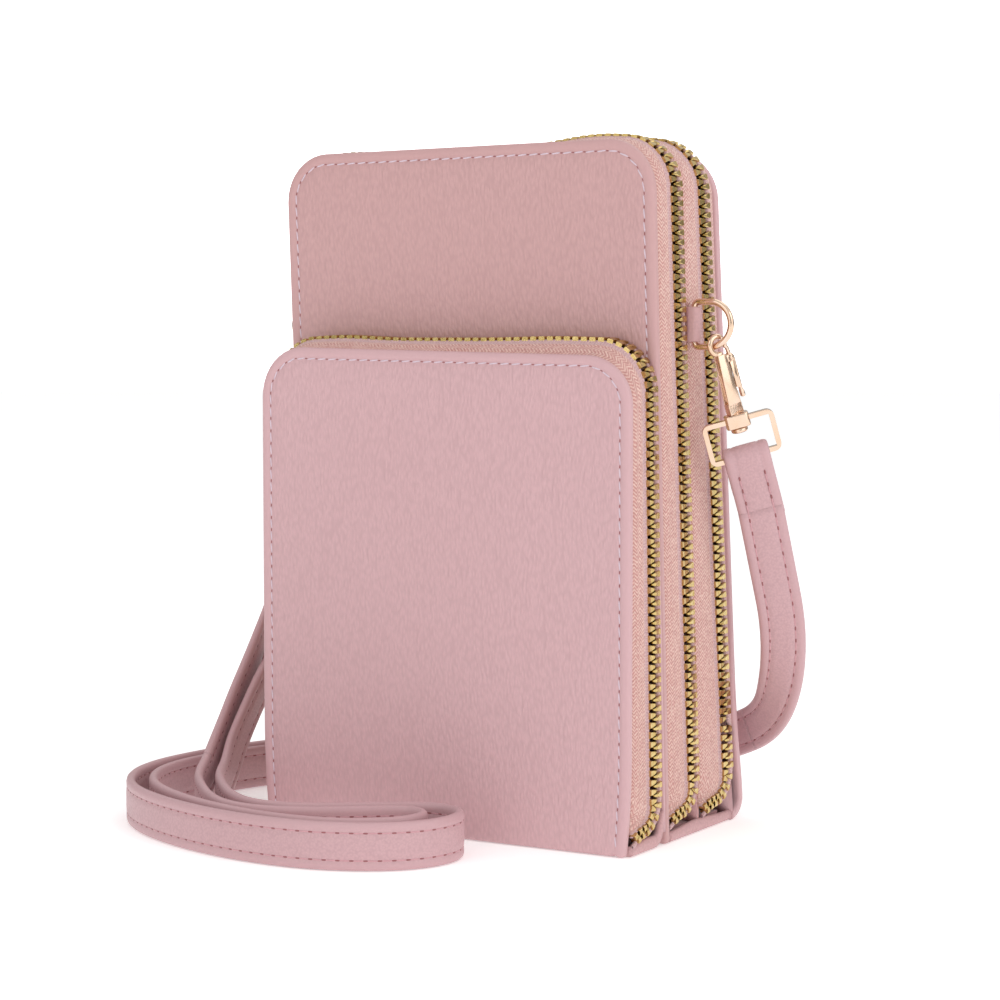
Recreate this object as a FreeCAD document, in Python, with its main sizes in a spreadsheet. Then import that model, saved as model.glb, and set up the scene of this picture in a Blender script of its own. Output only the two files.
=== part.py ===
import FreeCAD, Part
import math
import os
import Sketcher
from FreeCAD import Placement, Rotation, Vector

# Crossbody bag: two tall zip compartments and a front pocket, with a clip-on strap.
# Millimetres. X to the right, the pocket faces -Y, Z up from the floor.
# The origin is the middle of the base.

SIZES = {
    # whole bag
    "bag_width": 112.0,
    "bag_height": 180.0,
    "bag_depth": 66.0,
    "corner_round": 13.0,
    "pocket_height": 127.0,
    "pocket_depth": 21.0,
    "share_front_room": 0.46222,
    "front_lean_deg": 2.98,
    "seam_lean_deg": 4.29,
    "back_lean_deg": 5.39,
    # outer panels: leather turned over a board and a lining
    "panel_stack": 2.4,
    "skin": 1.0,
    "board": 1.0,
    "lining": 0.4,
    "rim": 2.5,
    "rim_foot": 1.6,
    "fit_gap": 0.05,
    "fold_gap": 0.3,
    "flap": 1.0,
    "base_stack": 2.4,
    "base_board": 1.0,
    "base_board_inset": 4.0,
    "divider_inset": 1.2,
    "divider_top_gap": 3.0,
    # zips
    "tape": 0.6,
    "tape_inset": 0.2,
    "tooth_thick": 2.6,
    "chain_width": 5.6,
    "row_gap": 0.8,
    "pocket_zip_to_flap": 6.1,
    "pocket_zip_lean_deg": 1.72,
    "pocket_zip_crown": 2.4,
    "main_zip_to_seam": 4.2,
    "main_zip_crown": 0.4,
    "rear_zip_to_back": 7.2,
    "rear_zip_lean_deg": 6.16,
    "pocket_tail": 5.4,
    "main_tail": 6.9,
    "tail_step": 1.1,
    "bend_round": 7.0,
    "rear_split": 26.0,
    # slider and pull
    "slider_height": 38.0,
    "slider_length": 9.0,
    "slider_width": 7.4,
    "slider_plate": 1.1,
    "slider_clear": 0.3,
    "slider_blade": 0.4,
    "slider_flange": 0.8,
    "bridge_gap": 1.6,
    "bridge_wire": 0.7,
    "bridge_width": 1.4,
    "bridge_length": 5.8,
    "pull_length": 15.0,
    "pull_width": 5.0,
    "pull_thick": 1.0,
    "pull_eye": 5.0,
    "pull_rod": 1.1,
    # D-ring and its tab
    "ring_height": 133.6,
    "ring_seat": 1.6,
    "ring_seam_shift": 0.9,
    "ring_wire": 1.7,
    "ring_round": 5.8,
    "ring_arm": 4.5,
    "tab_height": 9.0,
    "tab_wall": 0.8,
    "pin_clear": 0.08,
    # hook, gate and swivel loop
    "hook_reach": 6.6,
    "hook_drop": 5.8,
    "hook_turn_deg": -30.0,
    "hook_tilt_deg": 18.2,
    "claw_round": 2.9,
    "claw_wire": 1.5,
    "claw_start_deg": 42.0,
    "claw_sweep_deg": 218.0,
    "gate_start_deg": -48.0,
    "gate_sweep_deg": 84.0,
    "gate_pin_side": 2.6,
    "gate_pin_drop": 3.6,
    "gate_pin": 1.0,
    "gate_boss": 2.4,
    "gate_thick": 1.3,
    "gate_travel_deg": 12.0,
    "lever_length": 11.0,
    "lever_wall": 0.9,
    "lever_gap": 1.0,
    "slot_floor": 0.35,
    "spring_wall": 0.25,
    "spring_gap": 0.1,
    "body_top": 2.6,
    "body_foot": 4.2,
    "body_thick": 2.2,
    "body_length": 14.4,
    "boss_width": 6.4,
    "boss_height": 3.6,
    "boss_thick": 4.0,
    "rivet_shank": 2.2,
    "rivet_head": 4.4,
    "rivet_head_thick": 1.2,
    "loop_turn_deg": -30.0,
    "loop_width": 19.0,
    "loop_drop": 9.4,
    "loop_wire": 1.8,
    # strap
    "strap_width": 12.0,
    "strap_thick": 2.4,
    "strap_ply": 1.5,
    "strap_end_length": 14.0,
    "strap_swing_gap": 0.6,
}

doc = FreeCAD.newDocument("crossbody_bag")
sheet = doc.addObject("Spreadsheet::Sheet", "Sizes")
for row, (alias, number) in enumerate(SIZES.items(), start=1):
    sheet.set(f"A{row}", alias)
    sheet.set(f"B{row}", str(number))
    sheet.setAlias(f"B{row}", alias)
doc.recompute()


class Size:
    """A number together with the spreadsheet expression that gives it."""

    def __init__(self, number, text):
        self.number = number
        self.text = text

    def __add__(self, other):
        other = as_size(other)
        return Size(self.number + other.number, f"({self.text} + {other.text})")

    def __sub__(self, other):
        other = as_size(other)
        return Size(self.number - other.number, f"({self.text} - {other.text})")

    def __mul__(self, times):
        return Size(self.number * times, f"({self.text} * {times})")

    def __truediv__(self, parts):
        return Size(self.number / parts, f"({self.text} / {parts})")

    def __neg__(self):
        return Size(-self.number, f"(0 - {self.text})")


def as_size(value):
    return value if isinstance(value, Size) else Size(float(value), str(value))


def size(alias):
    return Size(float(sheet.get(alias)), f"Sizes.{alias}")


def bind(item, **properties):
    """Ties an object's properties to the spreadsheet."""
    for name, value in properties.items():
        value = as_size(value)
        setattr(item, name, value.number)
        item.setExpression(name, value.text)
    return item


# Finished pieces by node name
pieces = {}


def keep(item, node):
    item.Label = node
    pieces[node] = item
    return item


def box(name, low, high):
    """A block between two corners, given as sizes."""
    item = doc.addObject("Part::Box", name)
    spans = [as_size(b) - as_size(a) for a, b in zip(low, high)]
    bind(item, Length=spans[0], Width=spans[1], Height=spans[2])
    for axis, value in zip("xyz", low):
        value = as_size(value)
        item.setExpression(f"Placement.Base.{axis}", value.text)
    return item


def rod(name, radius, length, centre, along):
    """A round bar of a length, centred on a point and lying along X, Y or Z."""
    item = doc.addObject("Part::Cylinder", name)
    bind(item, Radius=radius, Height=length)
    turns = {
        "X": Rotation(Vector(0, 1, 0), 90),
        "Y": Rotation(Vector(1, 0, 0), -90),
        "Z": Rotation(),
    }
    item.Placement = Placement(Vector(), turns[along])
    start = [as_size(value) for value in centre]
    middle = "XYZ".index(along)
    start[middle] = start[middle] - as_size(length) / 2
    for axis, value in zip("xyz", start):
        item.setExpression(f"Placement.Base.{axis}", value.text)
    return item


def arc_rod(name, round_to_centre, wire, start, sweep, about):
    """Part of a ring of round wire about X or Y, from a start angle."""
    item = doc.addObject("Part::Torus", name)
    bind(item, Radius1=round_to_centre, Radius2=wire / 2, Angle3=sweep)
    stand = {"X": Rotation(Vector(1, 1, 1), 120), "Y": Rotation(Vector(1, 0, 0), 90)}[about]
    spin = Rotation(Vector(0, 0, 1), start.number)
    item.Placement = Placement(Vector(), stand.multiply(spin))
    return item


def fuse(name, parts):
    item = doc.addObject("Part::MultiFuse", name)
    item.Shapes = parts
    return item


def cut(name, base, tool):
    item = doc.addObject("Part::Cut", name)
    item.Base = base
    item.Tool = tool
    return item


def mirrored(source, node):
    """The same piece on the bag's left side."""
    item = doc.addObject("Part::Mirroring", node)
    item.Source = source
    item.Normal = Vector(1, 0, 0)
    return keep(item, node)


def arch_outline(sketch, half_width, foot, head, corner):
    """Adds a straight-sided outline with two round top corners to a sketch."""
    half, low, top, turn = (value.number for value in (half_width, foot, head, corner))
    first = len(sketch.Geometry)
    ends = [Vector(-half, low, 0), Vector(half, low, 0), Vector(half, top - turn, 0)]
    ends += [Vector(half - turn, top, 0), Vector(turn - half, top, 0), Vector(-half, top - turn, 0)]
    up = Vector(0, 0, 1)
    right_turn = Part.Circle(Vector(half - turn, top - turn, 0), up, turn)
    left_turn = Part.Circle(Vector(turn - half, top - turn, 0), up, turn)
    sketch.addGeometry(Part.LineSegment(ends[0], ends[1]), False)
    sketch.addGeometry(Part.LineSegment(ends[1], ends[2]), False)
    sketch.addGeometry(Part.ArcOfCircle(right_turn, 0, math.pi / 2), False)
    sketch.addGeometry(Part.LineSegment(ends[3], ends[4]), False)
    sketch.addGeometry(Part.ArcOfCircle(left_turn, math.pi / 2, math.pi), False)
    sketch.addGeometry(Part.LineSegment(ends[5], ends[0]), False)
    base, right, turn_right, crown, turn_left, left = range(first, first + 6)
    rule = Sketcher.Constraint
    sketch.addConstraint([
        rule("Coincident", base, 2, right, 1),
        rule("Tangent", right, 2, turn_right, 1),
        rule("Tangent", turn_right, 2, crown, 1),
        rule("Tangent", crown, 2, turn_left, 1),
        rule("Tangent", turn_left, 2, left, 1),
        rule("Coincident", left, 2, base, 1),
        rule("Vertical", right),
        rule("Vertical", left),
        rule("Equal", turn_right, turn_left),
        rule("Symmetric", base, 1, base, 2, -2),
    ])
    measures = [
        (rule("DistanceX", base, 1, base, 2, 2 * half), half_width * 2),
        (rule("DistanceY", base, 1, crown, 1, top - low), head - foot),
        (rule("Radius", turn_right, turn), corner),
    ]
    if low:
        measures.append((rule("DistanceY", -1, 1, base, 1, low), foot))
    else:
        sketch.addConstraint(rule("PointOnObject", base, 1, -1))
    for constraint, value in measures:
        index = sketch.addConstraint(constraint)
        sketch.setExpression(f"Constraints[{index}]", value.text)


def arch_sketch(body, name, front, outlines):
    """A sketch square to Y at a depth in its body, with one or two arch outlines."""
    plane = [item for item in body.Origin.OriginFeatures if item.Role == "XZ_Plane"][0]
    sketch = body.newObject("Sketcher::SketchObject", name)
    sketch.AttachmentSupport = [(plane, "")]
    sketch.MapMode = "FlatFace"
    sketch.AttachmentOffset = Placement(Vector(0, 0, -front.number), Rotation())
    sketch.setExpression("AttachmentOffset.Base.z", (-front).text)
    for outline in outlines:
        arch_outline(sketch, *outline)
    return sketch


def pad(body, sketch, depth, towards_back):
    item = body.newObject("PartDesign::Pad", f"{sketch.Name}_pad")
    item.Profile = sketch
    item.Reversed = towards_back
    return bind(item, Length=depth)


def sheet_body(node, front, depth, outline, towards_back=True):
    """A flat sheet with an arch outline, as one body."""
    body = doc.addObject("PartDesign::Body", node)
    sketch = arch_sketch(body, f"{node}_outline", front, [outline])
    pad(body, sketch, depth, towards_back)
    return body


def stand(item, depth, height, lean):
    """Places a panel on its fold line and leans its top towards the front."""
    item.Placement = Placement(
        Vector(0, depth.number, height.number), Rotation(Vector(1, 0, 0), lean.number)
    )
    item.setExpression("Placement.Base.y", depth.text)
    item.setExpression("Placement.Base.z", height.text)
    if lean.number:
        item.setExpression("Placement.Rotation.Angle", lean.text)


width = size("bag_width")
half_width = width / 2
corner = size("corner_round")
stack = size("panel_stack")
front_face = -size("bag_depth") / 2
back_face = size("bag_depth") / 2
flat = Size(0.0, "0")

# Outer panels
# Each is a sheet of leather turned over its own edges. A board and a lining lie inside the rim,
# and the lower edge is the rounded fold that the panel swings on.


def outer_panel(prefix, height, depth, lean, outer_side):
    """Leather, board and lining of one panel; outer_side is -1 for a front, 1 for a back."""
    inward = outer_side < 0
    outer = stack / 2 * outer_side
    head = height - stack / 2
    rim, foot = size("rim"), size("rim_foot")
    inner = (half_width - rim, foot, head - rim, corner - rim)
    edge = size("fit_gap")
    filling = (half_width - rim - edge, foot + edge, head - rim - edge, corner - rim - edge)

    leather = doc.addObject("PartDesign::Body", f"{prefix}_skin")
    full = (half_width, flat, head, corner)
    pad(leather, arch_sketch(leather, f"{prefix}_rim", outer, [full, inner]), stack, inward)
    pad(leather, arch_sketch(leather, f"{prefix}_face", outer, [full]), size("skin"), inward)
    fold = rod(f"{prefix}_fold", stack / 2, width, (flat, flat, flat), "X")
    shell = fuse(f"{prefix}_leather", [leather, fold])
    shell.Refine = True

    board_at = outer - size("skin") * outer_side
    lining_at = board_at - size("board") * outer_side
    stiffener = sheet_body(f"{prefix}_board", board_at, size("board"), filling, inward)
    inside = sheet_body(f"{prefix}_lining", lining_at, size("lining"), filling, inward)
    for node, item in (("leather", shell), ("board", stiffener), ("lining", inside)):
        stand(item, depth, stack / 2, lean)
        keep(item, f"{prefix}_{node}")


main_face = front_face + size("pocket_depth")
pocket_fold = front_face + stack / 2
main_fold = main_face + stack / 2
back_fold = back_face - stack / 2
outer_panel("pocket_front", size("pocket_height"), pocket_fold, flat, -1)
outer_panel("main_front", size("bag_height"), main_fold, size("front_lean_deg"), -1)
outer_panel("main_back", size("bag_height"), back_fold, size("back_lean_deg"), 1)

# Pocket back
# The pocket's leather goes on under its base and up behind, as a single ply sewn to the main
# front panel.
flap_head = size("pocket_height") + size("pocket_zip_crown") - stack / 2
flap_outline = (half_width, size("base_stack"), flap_head, corner)
pocket_back = sheet_body(
    "pocket_back_leather", -(stack / 2 + size("flap")), size("flap"), flap_outline
)
stand(pocket_back, main_fold, stack / 2, size("front_lean_deg"))
keep(pocket_back, "pocket_back_leather")

# Divider
# A board with a lining on both faces, standing between the two main compartments.
behind_pocket = size("bag_depth") - size("pocket_depth")
share = size("share_front_room")
seam = main_face + Size(behind_pocket.number * share.number, f"{behind_pocket.text} * {share.text}")
divider_stack = size("board") + size("lining") * 2
inset = size("divider_inset")
divider_outline = (
    half_width - inset,
    size("base_stack") + size("fold_gap"),
    size("bag_height") - size("divider_top_gap"),
    corner - inset,
)
divider_front = -divider_stack / 2
for node, at, depth in (
    ("divider_front_lining", divider_front, size("lining")),
    ("divider_board", divider_front + size("lining"), size("board")),
    ("divider_back_lining", divider_front + size("lining") + size("board"), size("lining")),
):
    ply = sheet_body(node, at, depth, divider_outline)
    stand(ply, seam, flat, size("seam_lean_deg"))
    keep(ply, node)

# Bases
# The leather runs under each compartment; the main base has a board on it.
fold_gap = size("fold_gap")
flap_foot = main_face - size("flap")
pocket_base = box(
    "pocket_base",
    (-half_width, front_face + stack + fold_gap, flat),
    (half_width, flap_foot - fold_gap, size("base_stack")),
)
keep(pocket_base, "pocket_base_leather")
main_base = box(
    "main_base",
    (-half_width, main_face + stack + fold_gap, flat),
    (half_width, back_face - stack - fold_gap, size("base_stack")),
)
board_inset = size("base_board_inset")
board_room = box(
    "main_base_board_room",
    (board_inset - half_width, main_face + stack + board_inset, size("base_stack") - size("base_board")),
    (half_width - board_inset, back_face - stack - board_inset, size("base_stack")),
)
keep(cut("main_base_tray", main_base, board_room), "main_base_leather")
edge = size("fit_gap")
base_board = box(
    "main_base_board",
    (
        board_inset + edge - half_width,
        main_face + stack + board_inset + edge,
        size("base_stack") - size("base_board"),
    ),
    (
        half_width - board_inset - edge,
        back_face - stack - board_inset - edge,
        size("base_stack"),
    ),
)
keep(base_board, "main_base_board")

# Zips
# Each half is a woven tape with a row of teeth. It runs up one side, over the top and down the
# other, and its lower ends bend forward to the fold. A half is the part of that band that lies
# between two lines drawn in the side view. Over the top the teeth stand up in a crown, and the
# tapes sewn to the outer panels slope down from it.

ABOVE = SIZES["bag_height"] * 2
tape_outer = SIZES["bag_width"] / 2 - SIZES["tape_inset"]
tape_inner = tape_outer - SIZES["tape"]
tooth_outer = (tape_outer + tape_inner + SIZES["tooth_thick"]) / 2
tooth_inner = tooth_outer - SIZES["tooth_thick"]


def arch_block(half, head, rise, level):
    """A solid with the arch outline, long enough to hold the whole bag's depth.

    It rises by a share of its depth, and has the head's height where its depth is level.
    """
    turn = SIZES["corner_round"] - SIZES["bag_width"] / 2 + half
    knee = head - turn
    middle = turn * math.sqrt(0.5)
    depth = SIZES["bag_depth"]
    spots = [
        (-half, -ABOVE), (half, -ABOVE), (half, knee),
        (half - turn + middle, knee + middle), (half - turn, head),
        (turn - half, head), (turn - half - middle, knee + middle), (-half, knee),
    ]
    at = [Vector(x, -depth, z - (depth + level) * rise) for x, z in spots]
    edges = [
        Part.makeLine(at[0], at[1]),
        Part.makeLine(at[1], at[2]),
        Part.Arc(at[2], at[3], at[4]).toShape(),
        Part.makeLine(at[4], at[5]),
        Part.Arc(at[5], at[6], at[7]).toShape(),
        Part.makeLine(at[7], at[0]),
    ]
    return Part.Face(Part.Wire(edges)).extrude(Vector(0, depth * 2, depth * 2 * rise))


def band(height, outer, inner, rise=0, level=0):
    """The closed band of a tape or a tooth row, all the way through the bag's depth."""
    edge_of_bag = SIZES["bag_width"] / 2
    return arch_block(outer, height + outer - edge_of_bag, rise, level).cut(
        arch_block(inner, height + inner - edge_of_bag, rise, level)
    )


class Line:
    """A leaning line in the side view: its depth at the floor and its lean."""

    def __init__(self, foot, lean):
        self.foot = foot
        self.slope = -math.tan(math.radians(lean))

    def depth(self, height):
        return self.foot + self.slope * height

    def moved(self, by):
        copy = Line(self.foot + by, 0)
        copy.slope = self.slope
        return copy


def bent_edge(line, tail, turn, end, top):
    """Down a line from a top, round a bend and forward along a level tail to the line named end."""
    corner_at = Vector(0, line.depth(tail), tail)
    up = Vector(0, line.slope, 1).normalize()
    forward = Vector(0, -1, 0)
    half_angle = up.getAngle(forward) / 2
    reach = turn / math.tan(half_angle)
    inside = (up + forward).normalize()
    points = [
        Vector(0, line.depth(top), top),
        corner_at + up * reach,
        corner_at + inside * (turn / math.sin(half_angle) - turn),
        corner_at + forward * reach,
        Vector(0, end.depth(tail), tail),
    ]
    edges = [
        Part.makeLine(points[0], points[1]),
        Part.Arc(points[1], points[2], points[3]).toShape(),
        Part.makeLine(points[3], points[4]),
    ]
    return edges, points[0], points[4]


def side_block(front_edges, back_edges):
    """The block between two bent edges, running through the bag's width."""
    front, front_top, front_end = front_edges
    back, back_top, back_end = back_edges
    joins = [Part.makeLine(front_end, back_end), Part.makeLine(back_top, front_top)]
    face = Part.Face(Part.Wire(Part.__sortEdges__(front + joins + back)))
    block = face.extrude(Vector(SIZES["bag_width"] * 2, 0, 0))
    block.translate(Vector(-SIZES["bag_width"], 0, 0))
    return block


def panel_edge(line, low, top):
    """The straight edge of a tape that is sewn along a panel."""
    start = Vector(0, line.depth(top), top)
    end = Vector(0, line.depth(low), low)
    return [Part.makeLine(start, end)], start, end


def keep_shape(shape, node):
    solid = shape.Solids[0] if len(shape.Solids) == 1 else shape
    item = doc.addObject("Part::Feature", node)
    item.Shape = solid
    item.Placement = Placement()
    return keep(item, node)


def zip_pair(prefix, height, crown, chain, tail, front_panel, fold, rear_panel, slopes):
    """Front tape and row, rear row and tape of one zip, as four shapes.

    slopes says which of the two tapes slopes down from the crown to its panel.
    """
    half_chain = SIZES["chain_width"] / 2
    half_gap = SIZES["row_gap"] / 2
    sewn = SIZES["fit_gap"]
    step = SIZES["tail_step"]
    turn = SIZES["bend_round"]
    top = height + SIZES["corner_round"]
    peak = height + crown
    front_edge = chain.depth(height) - half_chain
    rear_edge = chain.depth(height) + half_chain
    front_rise = crown / (front_edge - front_panel.depth(height)) if slopes[0] else 0
    rear_rise = crown / (rear_edge - rear_panel.depth(height)) if slopes[1] else 0
    front_tapes = band(peak, tape_outer, tape_inner, front_rise, front_edge)
    rear_tapes = band(peak, tape_outer, tape_inner, rear_rise, rear_edge)
    rows = band(peak, tooth_outer, tooth_inner)
    front_row = bent_edge(chain.moved(-half_chain), tail + step, turn - half_chain, fold, top)
    front_tape = bent_edge(chain.moved(-half_chain - sewn), tail + step + sewn, turn - half_chain, fold, top)
    front_gap = bent_edge(chain.moved(-half_gap), tail + half_gap / 2, turn - half_gap, fold, top)
    rear_gap = bent_edge(chain.moved(half_gap), tail - half_gap / 2, turn + half_gap, fold, top)
    rear_row = bent_edge(chain.moved(half_chain), tail - step, turn + half_chain, fold, top)
    rear_tape = bent_edge(chain.moved(half_chain + sewn), tail - step - sewn, turn + half_chain, fold, top)
    seam_edge = bent_edge(rear_panel, tail - step * 2, turn + half_chain, fold, top)
    return {
        f"{prefix}_front_tape": front_tapes.common(
            side_block(panel_edge(front_panel, tail + step + sewn, top), front_tape)
        ),
        f"{prefix}_front_teeth": rows.common(side_block(front_row, front_gap)),
        f"{prefix}_rear_teeth": rows.common(side_block(rear_gap, rear_row)),
        f"{prefix}_rear_tape": rear_tapes.common(side_block(rear_tape, seam_edge)),
    }


def rear_face(fold_depth, lean):
    """The inner face of a front panel that stands on a fold, as a line in the side view."""
    half = SIZES["panel_stack"] / 2
    angle = math.radians(lean)
    return Line(fold_depth + half / math.cos(angle) + half * math.tan(angle), lean)


sewn = SIZES["fit_gap"]
clear = SIZES["fold_gap"]
pocket_inner = rear_face(pocket_fold.number, 0)
main_inner = rear_face(main_fold.number, SIZES["front_lean_deg"])
flap_face = main_inner.moved(-SIZES["panel_stack"] - SIZES["flap"])
back_inner = rear_face(back_fold.number, SIZES["back_lean_deg"]).moved(-SIZES["panel_stack"])
seam_line = Line(seam.number, SIZES["seam_lean_deg"])
pocket_chain = Line(flap_foot.number - SIZES["pocket_zip_to_flap"], SIZES["pocket_zip_lean_deg"])
main_chain = seam_line.moved(-SIZES["main_zip_to_seam"])
rear_chain = Line(back_face.number - SIZES["rear_zip_to_back"], SIZES["rear_zip_lean_deg"])

divider_half = divider_stack.number / 2 / math.cos(math.radians(SIZES["seam_lean_deg"]))

zips = {}
zips.update(zip_pair(
    "pocket_zip", SIZES["pocket_height"], SIZES["pocket_zip_crown"], pocket_chain, SIZES["pocket_tail"],
    pocket_inner.moved(sewn), pocket_inner.moved(clear), flap_face.moved(-sewn), (True, False),
))
zips.update(zip_pair(
    "main_zip", SIZES["bag_height"], SIZES["main_zip_crown"], main_chain, SIZES["main_tail"],
    main_inner.moved(sewn), main_inner.moved(clear), seam_line.moved(-sewn), (True, False),
))
zips.update(zip_pair(
    "rear_zip", SIZES["bag_height"], SIZES["main_zip_crown"], rear_chain, SIZES["main_tail"],
    seam_line.moved(sewn), seam_line.moved(divider_half + clear), back_inner.moved(-sewn), (False, True),
))

# The rear half of the rear zip swings with the back panel, but its lowest stretch stays down.
split = SIZES["rear_split"]
span = SIZES["bag_width"]
below = Part.makeBox(span * 2, span * 2, span + split, Vector(-span, -span, -span))
above = Part.makeBox(span * 2, span * 2, ABOVE, Vector(-span, -span, split + clear))
for part in ("tape", "teeth"):
    whole = zips.pop(f"rear_zip_rear_{part}")
    zips[f"rear_zip_rear_{part}"] = whole.common(above)
    zips[f"rear_zip_tail_{part}"] = whole.common(below)
for node, shape in zips.items():
    keep_shape(shape, node)

# Zip sliders and pulls
# They are parked low on the left side. In the piece's own frame X points out of the bag.


def slider_and_pull(prefix, chain, moving_side):
    """moving_side is 1 when the half in front of the chain moves, and -1 for the one behind."""
    bag_edge = half_width - size("tape_inset")
    tape_mid = bag_edge - size("tape") / 2
    teeth = tape_mid + size("tooth_thick") / 2
    gap = size("slider_clear")
    under = teeth + gap
    face = under + size("slider_plate")
    inner_face = teeth - size("tooth_thick") - gap
    inner_back = inner_face - size("slider_plate")
    half_length = size("slider_length") / 2
    half_plate = size("slider_width") / 2
    half_row = size("chain_width") / 2 - gap * 2
    blade = size("slider_blade") / 2
    flange = half_plate - size("slider_flange")
    row_side = (-half_row, half_plate) if moving_side > 0 else (-half_plate, half_row)
    flange_side = (flange, half_plate) if moving_side > 0 else (-half_plate, -flange)
    half_wire = size("bridge_width") / 2
    half_bridge = size("bridge_length") / 2
    bridge_under = face + size("bridge_gap")
    bridge_top = bridge_under + size("bridge_wire")
    blocks = [
        box(f"{prefix}_outer_plate", (under, -half_plate, -half_length), (face, half_plate, half_length)),
        box(f"{prefix}_inner_plate", (inner_back, row_side[0], -half_length), (inner_face, row_side[1], half_length)),
        box(f"{prefix}_blade", (inner_face, -blade, -half_length), (under, blade, half_length)),
        box(
            f"{prefix}_outer_flange",
            (bag_edge + gap, flange_side[0], -half_length),
            (under, flange_side[1], half_length),
        ),
        box(
            f"{prefix}_inner_flange",
            (inner_face, flange_side[0], -half_length),
            (bag_edge - size("tape") - gap, flange_side[1], half_length),
        ),
        box(f"{prefix}_bridge", (bridge_under, -half_wire, -half_bridge), (bridge_top, half_wire, half_bridge)),
    ]
    for end, low in (("top", half_bridge - size("bridge_wire")), ("foot", -half_bridge)):
        blocks.append(
            box(f"{prefix}_bridge_{end}", (face, -half_wire, low), (bridge_under, half_wire, low + size("bridge_wire")))
        )
    slider = fuse(f"{prefix}_slider", blocks)

    pivot = face + size("bridge_gap") / 2
    half_pull = size("pull_width") / 2
    half_thick = size("pull_thick") / 2
    eye_side = half_wire + gap
    eye_foot = -size("pull_eye")
    plate = fuse(f"{prefix}_pull_plate", [
        rod(f"{prefix}_pull_rod", size("pull_rod") / 2, half_pull * 2, (pivot, flat, flat), "Y"),
        box(f"{prefix}_pull_left", (pivot - half_thick, eye_side, eye_foot), (pivot + half_thick, half_pull, flat)),
        box(f"{prefix}_pull_right", (pivot - half_thick, -half_pull, eye_foot), (pivot + half_thick, -eye_side, flat)),
        box(
            f"{prefix}_pull_leaf",
            (pivot - half_thick, -half_pull, half_pull - size("pull_length")),
            (pivot + half_thick, half_pull, eye_foot),
        ),
        rod(
            f"{prefix}_pull_end", half_pull, size("pull_thick"),
            (pivot, flat, half_pull - size("pull_length")), "X",
        ),
    ])
    height = SIZES["slider_height"]
    place = Placement(
        Vector(0, chain.depth(height), height),
        Rotation(Vector(1, 0, 0), -math.degrees(math.atan(chain.slope))).multiply(
            Rotation(Vector(0, 0, 1), 180)
        ),
    )
    for node, item in (("slider", slider), ("pull", plate)):
        item.Placement = place
        keep(item, f"{prefix}_{node}")
    return place.multVec(Vector(pivot.number, 0, 0))


pivots = {
    "pocket_zip": slider_and_pull("pocket_zip", pocket_chain, 1),
    "main_zip": slider_and_pull("main_zip", main_chain, 1),
    "rear_zip": slider_and_pull("rear_zip", rear_chain, -1),
}

# D-ring in its tab
# The leather tab comes out of the side seam and wraps the ring's straight bar.
wire = size("ring_wire")
ring_x = half_width + size("ring_seat")
ring_y = Size(seam_line.depth(SIZES["ring_height"]), "0") + size("ring_seam_shift")
ring_z = size("ring_height")
arms = fuse("ring_parts", [
    rod("ring_bar", wire / 2, size("ring_round") * 2, (flat, flat, flat), "Z"),
    rod("ring_arm_top", wire / 2, size("ring_arm"), (size("ring_arm") / 2, flat, size("ring_round")), "X"),
    rod("ring_arm_foot", wire / 2, size("ring_arm"), (size("ring_arm") / 2, flat, -size("ring_round")), "X"),
])
bow = arc_rod("ring_bow", size("ring_round"), wire, Size(-90.0, "-90"), Size(180.0, "180"), "Y")
bow.setExpression("Placement.Base.x", size("ring_arm").text)
ends = []
for side in (1, -1):
    knob = doc.addObject("Part::Sphere", f"ring_corner_{'top' if side > 0 else 'foot'}")
    bind(knob, Radius=wire / 2)
    knob.setExpression("Placement.Base.z", (size("ring_round") * side).text)
    ends.append(knob)
ring = fuse("right_ring", [arms, bow] + ends)
ring_place = Placement(Vector(ring_x.number, ring_y.number, ring_z.number), Rotation())
ring.Placement = ring_place
keep(ring, "right_d_ring")
mirrored(ring, "left_d_ring")

half_tab = size("tab_height") / 2
tab_round = wire / 2 + size("pin_clear") + size("tab_wall")
tab_root = half_width - size("tape_inset") + edge - ring_x
tab = cut(
    "right_tab",
    fuse("tab_body", [
        rod("tab_roll", tab_round, size("tab_height"), (flat, flat, flat), "Z"),
        box("tab_plies", (tab_root, -tab_round, -half_tab), (flat, tab_round, half_tab)),
    ]),
    rod("tab_bore", wire / 2 + size("pin_clear"), size("tab_height") * 2, (flat, flat, flat), "Z"),
)
tab.Placement = ring_place
keep(tab, "right_ring_tab")
mirrored(tab, "left_ring_tab")

# Snap hook
# Its own frame has the claw's middle at the origin, X through the claw and Z up the hook.
eye = Vector(ring_x.number + SIZES["hook_reach"], ring_y.number, ring_z.number - SIZES["hook_drop"])
hook_turn = Rotation(Vector(0, 0, 1), SIZES["hook_turn_deg"]).multiply(
    Rotation(Vector(1, 0, 0), SIZES["hook_tilt_deg"])
)
hook_place = Placement(eye, hook_turn)
claw_foot = -size("claw_round") - size("claw_wire") / 2
body_end = claw_foot - size("body_length")
boss_top = body_end - size("pin_clear")
boss_foot = boss_top - size("boss_height")
head_top = boss_foot - size("pin_clear")

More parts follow.
